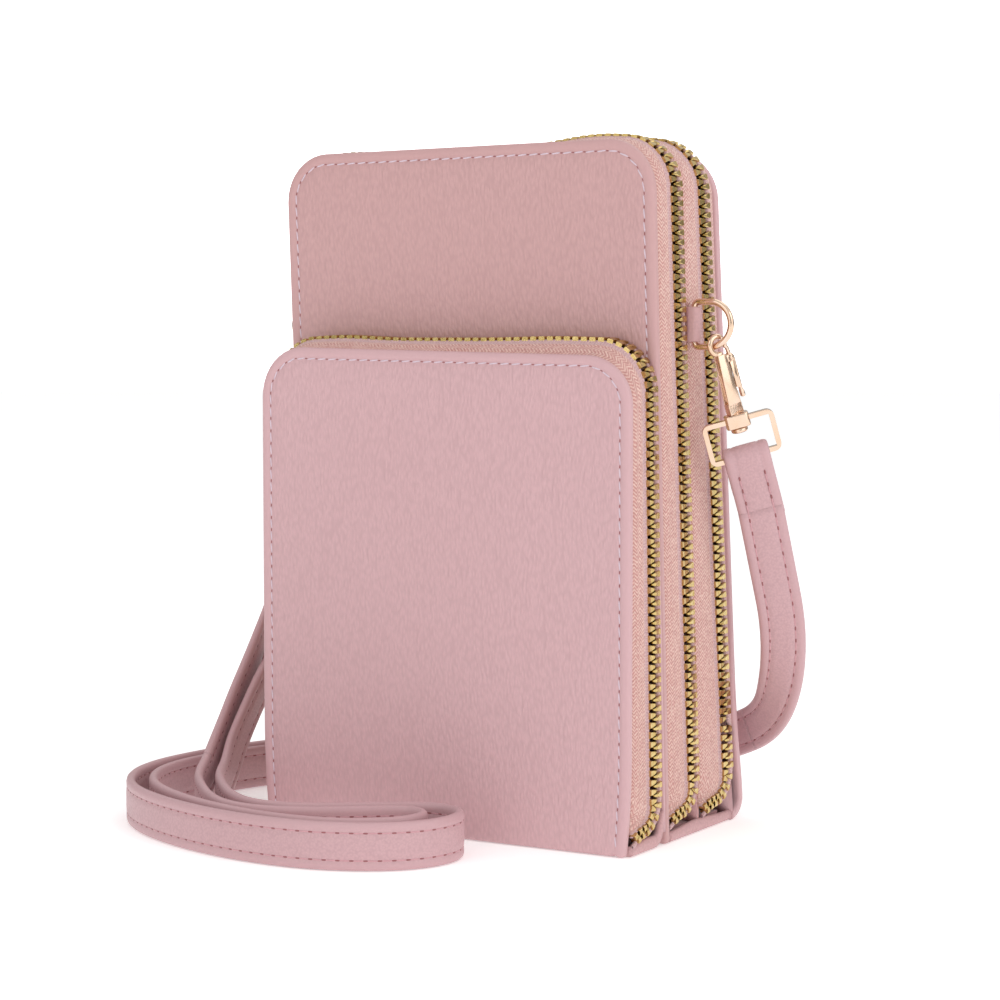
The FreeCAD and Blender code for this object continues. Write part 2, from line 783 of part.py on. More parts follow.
taper = doc.addObject("Part::Wedge", "hook_body")
bind(
    taper,
    Xmin=-size("body_thick") / 2, Xmax=size("body_thick") / 2,
    X2min=-size("body_thick") / 2, X2max=size("body_thick") / 2,
    Zmin=-size("body_foot") / 2, Zmax=size("body_foot") / 2,
    Z2min=-size("body_top") / 2, Z2max=size("body_top") / 2,
    Ymin=body_end, Ymax=claw_foot + size("claw_wire"),
)
taper.Placement = Placement(Vector(), Rotation(Vector(1, 0, 0), 90))
pin_y, pin_z = size("gate_pin_side"), -size("gate_pin_drop")
pin_ear = size("gate_pin")
hook = fuse("right_hook_parts", [
    arc_rod("hook_claw", size("claw_round"), size("claw_wire"), size("claw_start_deg"), size("claw_sweep_deg"), "X"),
    taper,
    rod("hook_gate_pin", size("gate_pin") / 2, size("body_thick"), (flat, pin_y, pin_z), "X"),
    box(
        "hook_ear_front",
        (size("gate_thick") / 2 + size("pin_clear"), flat, pin_z - pin_ear),
        (size("body_thick") / 2, pin_y + pin_ear / 2, pin_z + pin_ear / 2),
    ),
    box(
        "hook_ear_back",
        (-size("body_thick") / 2, flat, pin_z - pin_ear),
        (-size("gate_thick") / 2 - size("pin_clear"), pin_y + pin_ear / 2, pin_z + pin_ear / 2),
    ),
    rod("hook_shank", size("rivet_shank") / 2, body_end - head_top, (flat, flat, (body_end + head_top) / 2), "Z"),
    rod(
        "hook_rivet_head", size("rivet_head") / 2, size("rivet_head_thick"),
        (flat, flat, head_top - size("rivet_head_thick") / 2), "Z",
    ),
])
slot_side = size("gate_thick") / 2 + size("pin_clear")
lever_foot = pin_z - size("lever_length")
slots = fuse("hook_slots", [
    box(
        "hook_gate_room",
        (-slot_side, size("body_top") / 2, pin_z - size("gate_boss")),
        (slot_side, pin_y + size("gate_boss"), pin_z + size("gate_boss")),
    ),
    box(
        "hook_lever_room",
        (-slot_side, size("slot_floor"), lever_foot - size("fold_gap")),
        (slot_side, size("body_foot"), pin_z - size("gate_boss") / 2),
    ),
])
hook_cut = cut("right_hook_body", hook, slots)
hook_whole = fuse("right_hook", [
    hook_cut,
    rod("hook_gate_axle", size("gate_pin") / 2, size("body_thick"), (flat, pin_y, pin_z), "X"),
])
hook_whole.Placement = hook_place
keep(hook_whole, "right_hook")
mirrored(hook_whole, "left_hook")

# Gate lever, turning on the hook's pin
lever_in = size("body_foot") / 2 + size("lever_gap")
gate_solid = fuse("gate_solid", [
    arc_rod("gate_nose", size("claw_round"), size("gate_thick"), size("gate_start_deg"), size("gate_sweep_deg"), "X"),
    rod("gate_boss_round", size("gate_boss") / 2, size("gate_thick"), (flat, pin_y, pin_z), "X"),
    box(
        "gate_lever",
        (-size("gate_thick") / 2, lever_in, lever_foot),
        (size("gate_thick") / 2, lever_in + size("lever_wall"), pin_z),
    ),
])
gate = cut(
    "right_gate", gate_solid,
    rod("gate_bore", size("gate_pin") / 2 + size("pin_clear"), size("body_thick"), (flat, pin_y, pin_z), "X"),
)
gate.Placement = hook_place
keep(gate, "right_gate")
mirrored(gate, "left_gate")

# Leaf spring in the slot, lying along the line that the pressed lever reaches
leaf_out = lever_in - pin_y - size("spring_gap")
leaf = box(
    "right_gate_spring",
    (-size("gate_thick") / 2, leaf_out - size("spring_wall"), -size("lever_length")),
    (size("gate_thick") / 2, leaf_out, -size("gate_boss")),
)
pin_spot = Vector(0, pin_y.number, pin_z.number)
for axis in "xyz":
    leaf.setExpression(f"Placement.Base.{axis}", None)
leaf_start = Vector(-SIZES["gate_thick"] / 2, leaf_out.number - SIZES["spring_wall"], -SIZES["lever_length"])
pressed = Placement(pin_spot, Rotation(Vector(1, 0, 0), -SIZES["gate_travel_deg"]))
leaf.Placement = hook_place.multiply(pressed).multiply(Placement(leaf_start, Rotation()))
keep(leaf, "right_gate_spring")
mirrored(leaf, "left_gate_spring")

# Swivel loop, turning on the hook's rivet
# Its own frame has the same origin and Z as the hook's, turned about the rivet to face the view.
loop_place = Placement(eye, hook_turn.multiply(Rotation(Vector(0, 0, 1), SIZES["loop_turn_deg"])))
half_loop = size("loop_width") / 2
half_bar = size("loop_wire") / 2
bar_top = (boss_top + boss_foot) / 2
bar_foot = bar_top - size("loop_drop")
half_boss = size("boss_width") / 2
frame = cut(
    "loop_frame",
    box("loop_outside", (-half_bar, -half_loop, bar_foot - half_bar), (half_bar, half_loop, bar_top + half_bar)),
    box(
        "loop_inside",
        (-half_loop, size("loop_wire") - half_loop, bar_foot + half_bar),
        (half_loop, half_loop - size("loop_wire"), bar_top - half_bar),
    ),
)
loop = cut(
    "right_loop",
    fuse("loop_solid", [
        frame,
        box(
            "loop_boss",
            (-size("boss_thick") / 2, -half_boss, boss_foot),
            (size("boss_thick") / 2, half_boss, boss_top),
        ),
    ]),
    rod(
        "loop_bore", size("rivet_shank") / 2 + size("pin_clear"), size("loop_drop"),
        (flat, flat, bar_top), "Z",
    ),
)
loop.Placement = loop_place
keep(loop, "right_swivel_loop")
mirrored(loop, "left_swivel_loop")

# Strap end: the strap's ply folded round the loop's lower bar and sewn back on itself
half_strap = size("strap_width") / 2
bore_round = half_bar * math.sqrt(2) + size("pin_clear")
end_foot = bar_foot - size("strap_end_length")
strap_end = cut(
    "right_strap_end",
    fuse("strap_end_solid", [
        rod("strap_end_roll", bore_round + size("strap_ply"), size("strap_width"), (flat, flat, bar_foot), "Y"),
        box(
            "strap_end_plies",
            (-size("strap_ply"), -half_strap, end_foot),
            (size("strap_ply"), half_strap, bar_foot),
        ),
    ]),
    rod("strap_end_bore", bore_round, size("loop_width"), (flat, flat, bar_foot), "Y"),
)
strap_end.Placement = loop_place
keep(strap_end, "right_strap_end")
mirrored(strap_end, "left_strap_end")

# Strap
# A flat strip of folded leather. Its route is a list of points with the direction across the
# strip at each; the last two numbers of the pair are that direction. It drops from the right
# clip, passes behind the bag, lies doubled on the floor at the left and front, and rises to the
# left clip. The solids follow straight runs joined by arcs.
joint_gap = SIZES["strap_swing_gap"]
right_exit = loop_place.multVec(Vector(0, 0, end_foot.number - joint_gap))
left_exit = Vector(-right_exit.x, right_exit.y, right_exit.z)
right_across = loop_place.Rotation.multVec(Vector(0, 1, 0))
left_across = Vector(-right_across.x, right_across.y, right_across.z)
DOWN = (0, 0, -1)
AWAY = (-0.25, 0.85, -0.45)

RIGHT_DROP = [
    (tuple(right_exit), tuple(right_across)),
    ((72.6, 16, 70), (0.86, 0.5, 0.1)),
    ((73.3, 22, 54), (0.86, 0.5, -0.1)),
    ((70.3, 30.2, 39), (0.75, 0.4, -0.5)),
    ((61.5, 39.5, 27.5), (0.4, 0.1, -0.9)),
    ((47, 46, 22), DOWN),
]
FLOOR_RUN = [
    ((47, 46, 22), DOWN), ((29, 49.5, 15), DOWN), ((6, 50.5, 8.5), DOWN), ((-20, 50, 9), DOWN),
    ((-45, 47, 16.5), DOWN), ((-65, 39.5, 27), DOWN), ((-77.5, 26, 35.5), DOWN), ((-81, 12, 37), DOWN),
    ((-81, 1, 33), AWAY), ((-80.8, -8, 23.5), AWAY), ((-80, -16, 15.5), AWAY),
    ((-76, -26, 8), (-0.1, 0.3, -0.95)), ((-68, -37.5, 6.2), DOWN), ((-58, -49, 6), DOWN),
    ((-48, -59, 6), DOWN), ((-37, -66, 6), DOWN), ((-24, -66, 6), DOWN), ((-12, -58.5, 6), DOWN),
    ((0, -49.5, 6), DOWN), ((11, -45.5, 6), DOWN), ((20.5, -49, 6), DOWN), ((25, -59, 6), DOWN),
    ((20.5, -71, 6), DOWN), ((8, -79.5, 6), DOWN), ((-10, -84, 6), DOWN), ((-32, -83, 6), DOWN),
    ((-55, -76.5, 6), DOWN), ((-76, -65, 6), DOWN), ((-91, -50, 6), DOWN), ((-97, -32, 6), DOWN),
    ((-96, -12, 6), DOWN), ((-90, 9, 6), DOWN), ((-80, 29, 6), DOWN), ((-66, 46, 6), DOWN),
    ((-46, 58.5, 6), DOWN), ((-23, 65.5, 6), DOWN), ((-5, 69.5, 6), DOWN), ((9, 73, 6), DOWN),
    ((19.5, 71, 6), DOWN), ((22, 62.5, 6), DOWN), ((14, 56.5, 6), DOWN), ((-2, 56, 6), DOWN),
    ((-23, 57.5, 6), DOWN), ((-43, 52.5, 6), DOWN), ((-60, 42, 6), DOWN), ((-73, 26, 6), DOWN),
    ((-83, 7, 6), DOWN), ((-90, -12, 6), DOWN), ((-91, -31, 6), DOWN), ((-85.5, -47, 6), DOWN),
    ((-72, -60, 6), DOWN), ((-53, -71, 6), DOWN), ((-31, -78, 6), DOWN), ((-10, -79, 6), DOWN),
    ((5, -74.5, 6), DOWN), ((13.5, -66, 6), DOWN), ((14.5, -56.5, 6), DOWN), ((6, -52.5, 6), DOWN),
    ((-3, -57.5, 6), DOWN), ((-14, -66.5, 6), DOWN), ((-27, -72.5, 6), DOWN), ((-40, -71.5, 6), DOWN),
    ((-51, -64, 6), DOWN), ((-62, -53, 6), DOWN), ((-72.5, -41, 6.2), DOWN),
    ((-80.5, -29, 9), (-0.1, 0.3, -0.95)), ((-84, -18, 17), AWAY), ((-84.3, -9, 27), AWAY),
    ((-85, 0, 37), AWAY), ((-85.6, 8, 48), (-0.35, 0.85, -0.3)),
]
LEFT_DROP = [
    ((-85.6, 8, 48), (-0.35, 0.85, -0.3)),
    ((-83, 13, 61), (-0.5, 0.8, -0.1)),
    ((-77, 14, 74.5), (-0.7, 0.65, 0.15)),
    (tuple(left_exit), tuple(left_across)),
]
RUN_SHARE = 0.45
STEP_ANGLE = math.radians(24)


def stations(route):
    """Places along straight runs and their arcs: (point, direction, across) for each."""
    spots = [Vector(*point) for point, _ in route]
    sides = [Vector(*across) for _, across in route]
    lengths = [(b - a).Length for a, b in zip(spots, spots[1:])]
    headings = [(b - a).normalize() for a, b in zip(spots, spots[1:])]
    found = [(spots[0], headings[0], sides[0])]
    radii = []
    length = 0.0
    done = 0.0
    for index in range(1, len(spots) - 1):
        before, after = headings[index - 1], headings[index]
        turn = before.getAngle(after)
        reach = RUN_SHARE * min(lengths[index - 1], lengths[index])
        radius = reach / math.tan(turn / 2)
        radii.append(radius)
        inward = (after - before).normalize()
        middle = spots[index] + inward * (radius / math.cos(turn / 2))
        axis = before.cross(after).normalize()
        start = spots[index] - before * reach
        steps = max(2, math.ceil(turn / STEP_ANGLE))
        length += lengths[index - 1] - done - reach + radius * turn
        done = reach
        for step in range(steps + 1):
            swing = Rotation(axis, math.degrees(turn) * step / steps)
            point = middle + swing.multVec(start - middle)
            found.append((point, swing.multVec(before), sides[index]))
    length += lengths[-1] - done
    found.append((spots[-1], headings[-1], sides[-1]))
    return found, radii, length


def strap_solid(route, node, square_start=None, square_end=None):
    """A strip whose flat section is carried along the route, turning with it."""
    found, radii, length = stations(route)
    if square_start is not None:
        found[0] = (found[0][0], square_start, found[0][2])
    if square_end is not None:
        found[-1] = (found[-1][0], square_end, found[-1][2])
    sections = []
    for point, heading, across in found:
        flat_side = (across - heading * across.dot(heading)).normalize()
        thin_side = heading.cross(flat_side).normalize()
        half = flat_side * (SIZES["strap_width"] / 2)
        thin = thin_side * (SIZES["strap_thick"] / 2)
        corners = [point - half - thin, point + half - thin, point + half + thin, point - half + thin]
        sections.append(Part.makePolygon(corners + corners[:1]))
    solid = Part.makeLoft(sections, True, True)
    section = SIZES["strap_width"] * SIZES["strap_thick"]
    print(f"{node}: length {length:.1f}, volume over section times length "
          f"{solid.Volume / (section * length):.3f}, least radius {min(radii):.1f}")
    print("   bend radii", " ".join(f"{radius:.0f}" for radius in radii))
    keep_shape(solid, node)
    return length


clip_down = loop_place.Rotation.multVec(Vector(0, 0, -1))
clip_up_left = Vector(clip_down.x, -clip_down.y, -clip_down.z)
drop_join = (Vector(*FLOOR_RUN[1][0]) - Vector(*RIGHT_DROP[-2][0])).normalize()
rise_join = (Vector(*LEFT_DROP[1][0]) - Vector(*FLOOR_RUN[-2][0])).normalize()
total = strap_solid(RIGHT_DROP, "strap_right_drop", clip_down, drop_join)
total += strap_solid(FLOOR_RUN, "strap_floor_run", drop_join, rise_join)
total += strap_solid(LEFT_DROP, "strap_left_drop", rise_join, clip_up_left)
print(f"strap: {total:.1f} between its folded ends")

# Write every piece
doc.recompute()
os.makedirs("parts", exist_ok=True)
for item in doc.Objects:
    if "Invalid" in item.State or "Error" in item.State:
        raise RuntimeError(f"{item.Name} failed: {item.State}")
for node, item in pieces.items():
    shape = item.Shape
    if shape.isNull() or not shape.isValid() or not shape.Solids:
        raise RuntimeError(f"{node} has no valid solid")
for node, item in pieces.items():
    item.Shape.exportStep(f"parts/{node}.step")
for name, at in pivots.items():
    print(f"{name} pull pivot {at.x:.3f} {at.y:.3f} {at.z:.3f}")
print(f"ring bar {ring_x.number:.3f} {ring_y.number:.3f} {ring_z.number:.3f}; claw {tuple(eye)}")
print(f"rivet line {tuple(hook_turn.multVec(Vector(0, 0, 1)))}")
print(f"gate pin {tuple(hook_place.multVec(Vector(0, pin_y.number, pin_z.number)))} "
      f"along {tuple(hook_turn.multVec(Vector(1, 0, 0)))}")
print(f"strap exits {tuple(right_exit)} {tuple(left_exit)}")
print(len(pieces), "pieces")
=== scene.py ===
import math

import bmesh
import bpy
from mathutils import Matrix, Vector, noise


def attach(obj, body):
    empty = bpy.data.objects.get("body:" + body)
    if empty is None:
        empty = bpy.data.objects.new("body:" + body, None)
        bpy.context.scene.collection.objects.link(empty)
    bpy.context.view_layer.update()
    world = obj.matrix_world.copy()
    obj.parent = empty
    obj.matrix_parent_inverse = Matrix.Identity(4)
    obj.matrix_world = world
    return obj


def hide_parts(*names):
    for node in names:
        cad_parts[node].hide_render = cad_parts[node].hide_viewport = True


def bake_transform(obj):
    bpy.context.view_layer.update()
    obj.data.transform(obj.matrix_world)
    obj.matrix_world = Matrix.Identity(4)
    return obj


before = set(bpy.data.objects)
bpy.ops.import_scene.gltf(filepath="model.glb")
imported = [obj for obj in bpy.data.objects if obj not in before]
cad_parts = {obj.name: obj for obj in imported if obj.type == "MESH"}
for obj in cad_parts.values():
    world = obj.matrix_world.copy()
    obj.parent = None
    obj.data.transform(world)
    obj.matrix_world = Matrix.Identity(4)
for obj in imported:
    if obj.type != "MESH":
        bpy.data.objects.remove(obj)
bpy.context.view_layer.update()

# ---------------------------------------------------------------- Camera
# A long lens a little above the base line, looking at the bag's front and right side.
# The shift stays at zero.
VIEW_TILT = 0.065
VIEW_TURN = 0.533
FOCAL_PIXELS = 2512.45
IMAGE_PIXELS = 1000
SENSOR = 36.0

lens_data = bpy.data.cameras.new("studio_camera")
lens_data.sensor_width = SENSOR
lens_data.lens = FOCAL_PIXELS / IMAGE_PIXELS * SENSOR
lens_data.clip_start = 0.01
camera = bpy.data.objects.new("studio_camera", lens_data)
camera.location = (0.34395, -0.58430, 0.13048)
camera.rotation_euler = (math.pi / 2 - VIEW_TILT, 0, VIEW_TURN)
bpy.context.scene.collection.objects.link(camera)
bpy.context.scene.camera = camera


# ---------------------------------------------------------------- Floor and light
# A seamless pale sheet under the bag and large soft lamps round it, as in a product studio.
# The lamps are wide, so the leather shows soft gradients and the gilt shows broad highlights.


def hex_colour(code, alpha=1.0):
    """A maker's sRGB colour code as the linear colour that a shader takes."""
    parts = [int(code[i:i + 2], 16) / 255 for i in (1, 3, 5)]
    return [c / 12.92 if c <= 0.04045 else ((c + 0.055) / 1.055) ** 2.4 for c in parts] + [alpha]


def plug(tree, node, sockets):
    """Sets a node's sockets, each to a value or to another node's output."""
    for name, value in sockets.items():
        if isinstance(value, bpy.types.NodeSocket):
            tree.links.new(value, node.inputs[name])
        else:
            node.inputs[name].default_value = value


def add_node(tree, kind, sockets=None, **settings):
    """Adds a node with its settings and its sockets."""
    node = tree.nodes.new(kind)
    for name, value in settings.items():
        setattr(node, name, value)
    plug(tree, node, sockets or {})
    return node


def ranged(tree, value, low, high, start=0.0, end=1.0, **settings):
    """A value that runs from start to end, made to run from low to high."""
    sockets = {"Value": value, "From Min": start, "From Max": end, "To Min": low, "To Max": high}
    return add_node(tree, "ShaderNodeMapRange", sockets, **settings).outputs[0]


def blank_material(name):
    """A material whose shader is wired to its output, with nothing else in it."""
    material = bpy.data.materials.new(name)
    material.use_nodes = True
    tree = material.node_tree
    tree.nodes.clear()
    shader = tree.nodes.new("ShaderNodeBsdfPrincipled")
    output = tree.nodes.new("ShaderNodeOutputMaterial")
    tree.links.new(shader.outputs["BSDF"], output.inputs["Surface"])
    return material, tree, shader


WHITE = hex_colour("#FFFFFF")
floor_paint, tree, shader = blank_material("matt_white_backdrop_card")
plug(tree, shader, {"Base Color": WHITE, "Roughness": 0.9, "Specular IOR Level": 0.1,
                    "Emission Color": WHITE, "Emission Strength": 0.3})

bpy.ops.mesh.primitive_plane_add(size=12, location=(0, 0, -0.0002))
floor = bpy.context.object
floor.name = "studio_floor"
bpy.ops.object.transform_apply(location=True, rotation=False, scale=False)
floor.data.materials.append(floor_paint)

# A white cyclorama that only the camera sees, so that it doesn't light the bag.
cyclorama_white, tree, shader = blank_material("backlit_white_cyclorama")
plug(tree, shader, {"Base Color": WHITE, "Emission Color": WHITE, "Emission Strength": 1.0})
bpy.ops.mesh.primitive_uv_sphere_add(segments=48, ring_count=24, radius=5.5)
cyclorama = bpy.context.object
cyclorama.name = "studio_cyclorama"
bpy.ops.object.shade_smooth()
cyclorama.data.flip_normals()
cyclorama.data.materials.append(cyclorama_white)
for ray in ("diffuse", "glossy", "transmission", "volume_scatter", "shadow"):
    setattr(cyclorama, f"visible_{ray}", False)

# The tent's own light: bright above, dim round the horizon and a little brighter to the right,
# so that the metal shows dark and light bands.
world = bpy.data.worlds.new("studio_light_tent")
bpy.context.scene.world = world
world.use_nodes = True
tent = world.node_tree
direction = add_node(tent, "ShaderNodeTexCoord").outputs["Generated"]
split = add_node(tent, "ShaderNodeSeparateXYZ", {0: direction})
above = ranged(tent, split.outputs["Z"], 0.0, 1.0, -1.0, 1.0)
tent_ramp = add_node(tent, "ShaderNodeValToRGB", {"Fac": above})
tent_ramp.color_ramp.interpolation = "EASE"
steps = tent_ramp.color_ramp.elements
steps[0].position, steps[0].color = 0.4, (0.7, 0.69, 0.68, 1)
steps[1].position, steps[1].color = 0.8, (0.76, 0.76, 0.76, 1)
for position, grey in ((0.5, 0.28), (0.58, 0.34), (0.68, 0.62)):
    steps.new(position).color = (grey, grey * 0.97, grey * 0.95, 1)
sideways = add_node(tent, "ShaderNodeVectorMath", {0: direction, 1: (0.62, 0.12, 0.3)},
                    operation="DOT_PRODUCT").outputs["Value"]
plug(tent, tent.nodes["Background"], {"Color": tent_ramp.outputs["Color"],
                                      "Strength": ranged(tent, sideways, 0.8, 1.15, -0.4, 0.6)})

LAMPS = [
    # name, place, size, watts
    ("key_lamp", (-0.2, -1.45, 0.6), 1.25, 4.4),
    ("side_lamp", (1.35, -0.3, 0.6), 1.1, 4.8),
    ("top_lamp", (0.1, 0.5, 1.5), 1.1, 2.8),
]
for name, place, size, watts in LAMPS:
    lamp_data = bpy.data.lights.new(name, "AREA")
    lamp_data.size = size
    lamp_data.energy = watts
    lamp = bpy.data.objects.new(name, lamp_data)
    lamp.location = place
    lamp.rotation_euler = (Vector((0, 0, 0.08)) - Vector(place)).to_track_quat("-Z", "Y").to_euler()
    bpy.context.scene.collection.objects.link(lamp)

bpy.context.scene.view_settings.view_transform = "Standard"
bpy.context.scene.view_settings.look = "None"


# ---------------------------------------------------------------- Shoulder strap
# A strip of PU leather folded to 12 mm and sewn along both edges, 1.25 m long between its clips.
# It drops from the right clip, goes behind the bag, lies in two turns on the floor and rises to
# the left clip.
MM = 0.001
STRAP_WIDTH = 12.0
STRAP_THICK = 2.4
STRAP_STITCH_IN = 2.6
STRAP_SIDE = 5.0
DOWN = (0, 0, -1)
AWAY = (-0.25, 0.85, -0.45)
RIGHT_EXIT = (71.060, 11.561, 86.068)
LEFT_EXIT = (-71.060, 11.561, 86.068)
# the turns on the floor, behind the bag and in front of it, as (x, y); the strap stands on edge
FLOOR_HEIGHT = 6
FLOOR_TURNS = [
    (-58, -49), (-48, -59), (-37, -66), (-24, -66), (-12, -58.5), (0, -49.5), (9, -46), (17.5, -49.5),
    (20.6, -59), (16.6, -70.5), (6, -79), (-10, -84), (-32, -83), (-55, -76.5), (-76, -65), (-89, -49.5),
    (-94.6, -32), (-94, -12), (-90, 9), (-80, 29), (-66, 46), (-46, 58.5), (-23, 65.5), (-5, 69.5), (9, 73),
    (19.5, 71), (22, 62.5), (14, 56.5), (-2, 56), (-23, 57.5), (-43, 52.5), (-60, 42), (-73, 26), (-83, 7),
    (-88.2, -12), (-89, -31), (-83.8, -46.5), (-72, -60), (-53, -71), (-31, -78), (-10, -79), (3.5, -74),
    (11.4, -65.5), (11.6, -56.8), (4.6, -53), (-3, -57.5), (-14, -66.5), (-27, -72.5), (-40, -71.5),
    (-51, -64), (-62, -53),
]
# each control point, and the direction across the strap there
STRAP_ROUTE = [
    (RIGHT_EXIT, (0.844, 0.463, 0.27)),
    ((72.6, 16, 70), (0.86, 0.5, 0.1)),
    ((73.3, 22, 54), (0.86, 0.5, -0.1)),
    ((69.2, 30.2, 38.2), (0.75, 0.4, -0.5)),
    ((61, 39.5, 25.8), (0.4, 0.1, -0.9)),
    ((48, 46, 19.6), DOWN), ((29, 49.5, 14), DOWN), ((6, 50.5, 8.5), DOWN), ((-20, 50, 9), DOWN),
    ((-45, 47, 16.5), DOWN), ((-65, 39.5, 27), DOWN), ((-77.5, 26, 35.5), DOWN), ((-81, 12, 37), DOWN),
    ((-79.5, 1, 33), AWAY), ((-79, -8, 23.5), AWAY), ((-77.8, -16, 15.5), AWAY),
    ((-74, -25.5, 8), (-0.1, 0.3, -0.95)), ((-68, -37.5, 6.2), DOWN),
]
STRAP_ROUTE += [((x, y, FLOOR_HEIGHT), DOWN) for x, y in FLOOR_TURNS]
STRAP_ROUTE += [
    ((-72.5, -41, 6.2), DOWN),
    ((-78, -28.5, 9.3), (-0.1, 0.3, -0.95)), ((-81.2, -17.8, 17.2), AWAY), ((-82.6, -9, 27), AWAY),
    ((-83.3, 0, 37), AWAY), ((-84, 8, 48), (-0.35, 0.85, -0.3)),
    ((-83, 13, 61), (-0.5, 0.8, -0.1)),
    ((-77, 14, 74.5), (-0.7, 0.65, 0.15)),
    (LEFT_EXIT, (-0.844, 0.463, 0.27)),
]


def smooth_line(points):
    """The points that a smooth spline passes through between control points given in mm."""
    curve = bpy.data.curves.new("strap_line", "CURVE")
    curve.dimensions = "3D"
    curve.resolution_u = 14
    spline = curve.splines.new("NURBS")
    spline.points.add(len(points) - 1)
    for control, point in zip(spline.points, points):
        control.co = [c * MM for c in point] + [1.0]
    spline.order_u = 3
    spline.use_endpoint_u = True
    holder = bpy.data.objects.new("strap_line", curve)
    mesh = bpy.data.meshes.new_from_object(holder)
    line = [vertex.co.copy() for vertex in mesh.vertices]
    bpy.data.objects.remove(holder)
    bpy.data.curves.remove(curve)
    bpy.data.meshes.remove(mesh)
    return line


def new_piece(name, points, faces, material, smooth=True, attributes=None):
    """A mesh object from points in metres; attributes are numbers kept at each point."""
    mesh = bpy.data.meshes.new(name)
    mesh.from_pydata([tuple(p) for p in points], [], faces)
    mesh.validate()
    for label, values in (attributes or {}).items():
        layer = mesh.attributes.new(label, "FLOAT", "POINT")
        layer.data.foreach_set("value", values)
    mesh.materials.append(material)
    piece = bpy.data.objects.new(name, mesh)
    bpy.context.scene.collection.objects.link(piece)
    mesh.polygons.foreach_set("use_smooth", [smooth] * len(mesh.polygons))
    return piece


def outward(piece, merge=0.00001, close=False):
    """Welds a piece's doubled points, closes its holes if asked and turns its faces outwards."""
    work = bmesh.new()
    work.from_mesh(piece.data)
    bmesh.ops.remove_doubles(work, verts=work.verts, dist=merge)
    if close:
        bmesh.ops.holes_fill(work, edges=work.edges, sides=400)
    bmesh.ops.recalc_face_normals(work, faces=work.faces)
    work.to_mesh(piece.data)
    work.free()
    piece.data.polygons.foreach_set("use_smooth", [True] * len(piece.data.polygons))
    return piece


def loft(size, rows):
    """Faces of a closed section of so many points swept through so many rows, with closed ends."""
    faces = []
    for row in range(rows - 1):
        for i in range(size):
            a, b = row * size + i, row * size + (i + 1) % size
            faces.append((a, b, b + size, a + size))
    return faces + [tuple(range(size)), tuple(reversed(range((rows - 1) * size, rows * size)))]


def declare(piece, body, stands_for):
    """Says which body a piece moves with and hides the solid it stands for."""
    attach(piece, body)
    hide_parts(stands_for)


def own_place(tree):
    """Where a point is on the piece itself, in metres."""
    return add_node(tree, "ShaderNodeTexCoord").outputs["Object"]


def kept_number(tree, label):
    """A number that the mesh keeps at each of its points."""
    node = add_node(tree, "ShaderNodeAttribute", attribute_name=label, attribute_type="GEOMETRY")
    return node.outputs["Fac"]


def cloudy(tree, place, scale, detail=2.0, roughness=0.5):
    """A noise pattern of so many features to the metre."""
    sockets = {"Vector": place, "Scale": scale, "Detail": detail, "Roughness": roughness}
    return add_node(tree, "ShaderNodeTexNoise", sockets).outputs["Fac"]


def mixed(tree, factor, first, second):
    """Two colours mixed by a factor; each is a colour code or another node's output."""
    first, second = (hex_colour(side) if isinstance(side, str) else side for side in (first, second))
    sockets = {"Factor": factor, 6: first, 7: second}
    return add_node(tree, "ShaderNodeMix", sockets, data_type="RGBA").outputs[2]


def toned(tree, colour, value, share=1.0):
    """A colour made lighter or darker by a value."""
    colour = hex_colour(colour) if isinstance(colour, str) else colour
    sockets = {"Color": colour, "Value": value, "Fac": share}
    return add_node(tree, "ShaderNodeHueSaturation", sockets).outputs[0]


def maths(tree, operation, *values):
    """A sum on values or on other nodes' outputs."""
    return add_node(tree, "ShaderNodeMath", dict(enumerate(values)), operation=operation).outputs[0]


def bumped(tree, height, distance, strength):
    """A surface raised by a height, at most by a distance in metres."""
    sockets = {"Height": height, "Distance": distance, "Strength": strength}
    return add_node(tree, "ShaderNodeBump", sockets).outputs[0]


def grain_height(tree, place, width_mm, stretch):
    """Fine pebbles: the height of cells of a width, stretched along the hide's length."""
    hide = add_node(tree, "ShaderNodeMapping", {"Vector": place, "Rotation": (0.0, 0.16, 0.0),
                                                "Scale": (1.0, 1.0, 1.0 / stretch)}).outputs[0]
    warp = add_node(tree, "ShaderNodeTexNoise", {"Vector": hide, "Scale": 700.0, "Detail": 2.0})
    bent = add_node(tree, "ShaderNodeMix", {"Factor": 0.0006, 6: hide, 7: warp.outputs["Color"]},
                    data_type="RGBA", blend_type="ADD").outputs[2]
    sockets = {"Vector": bent, "Scale": 1000.0 / width_mm, "Smoothness": 0.5}
    return add_node(tree, "ShaderNodeTexVoronoi", sockets, feature="SMOOTH_F1").outputs["Distance"]
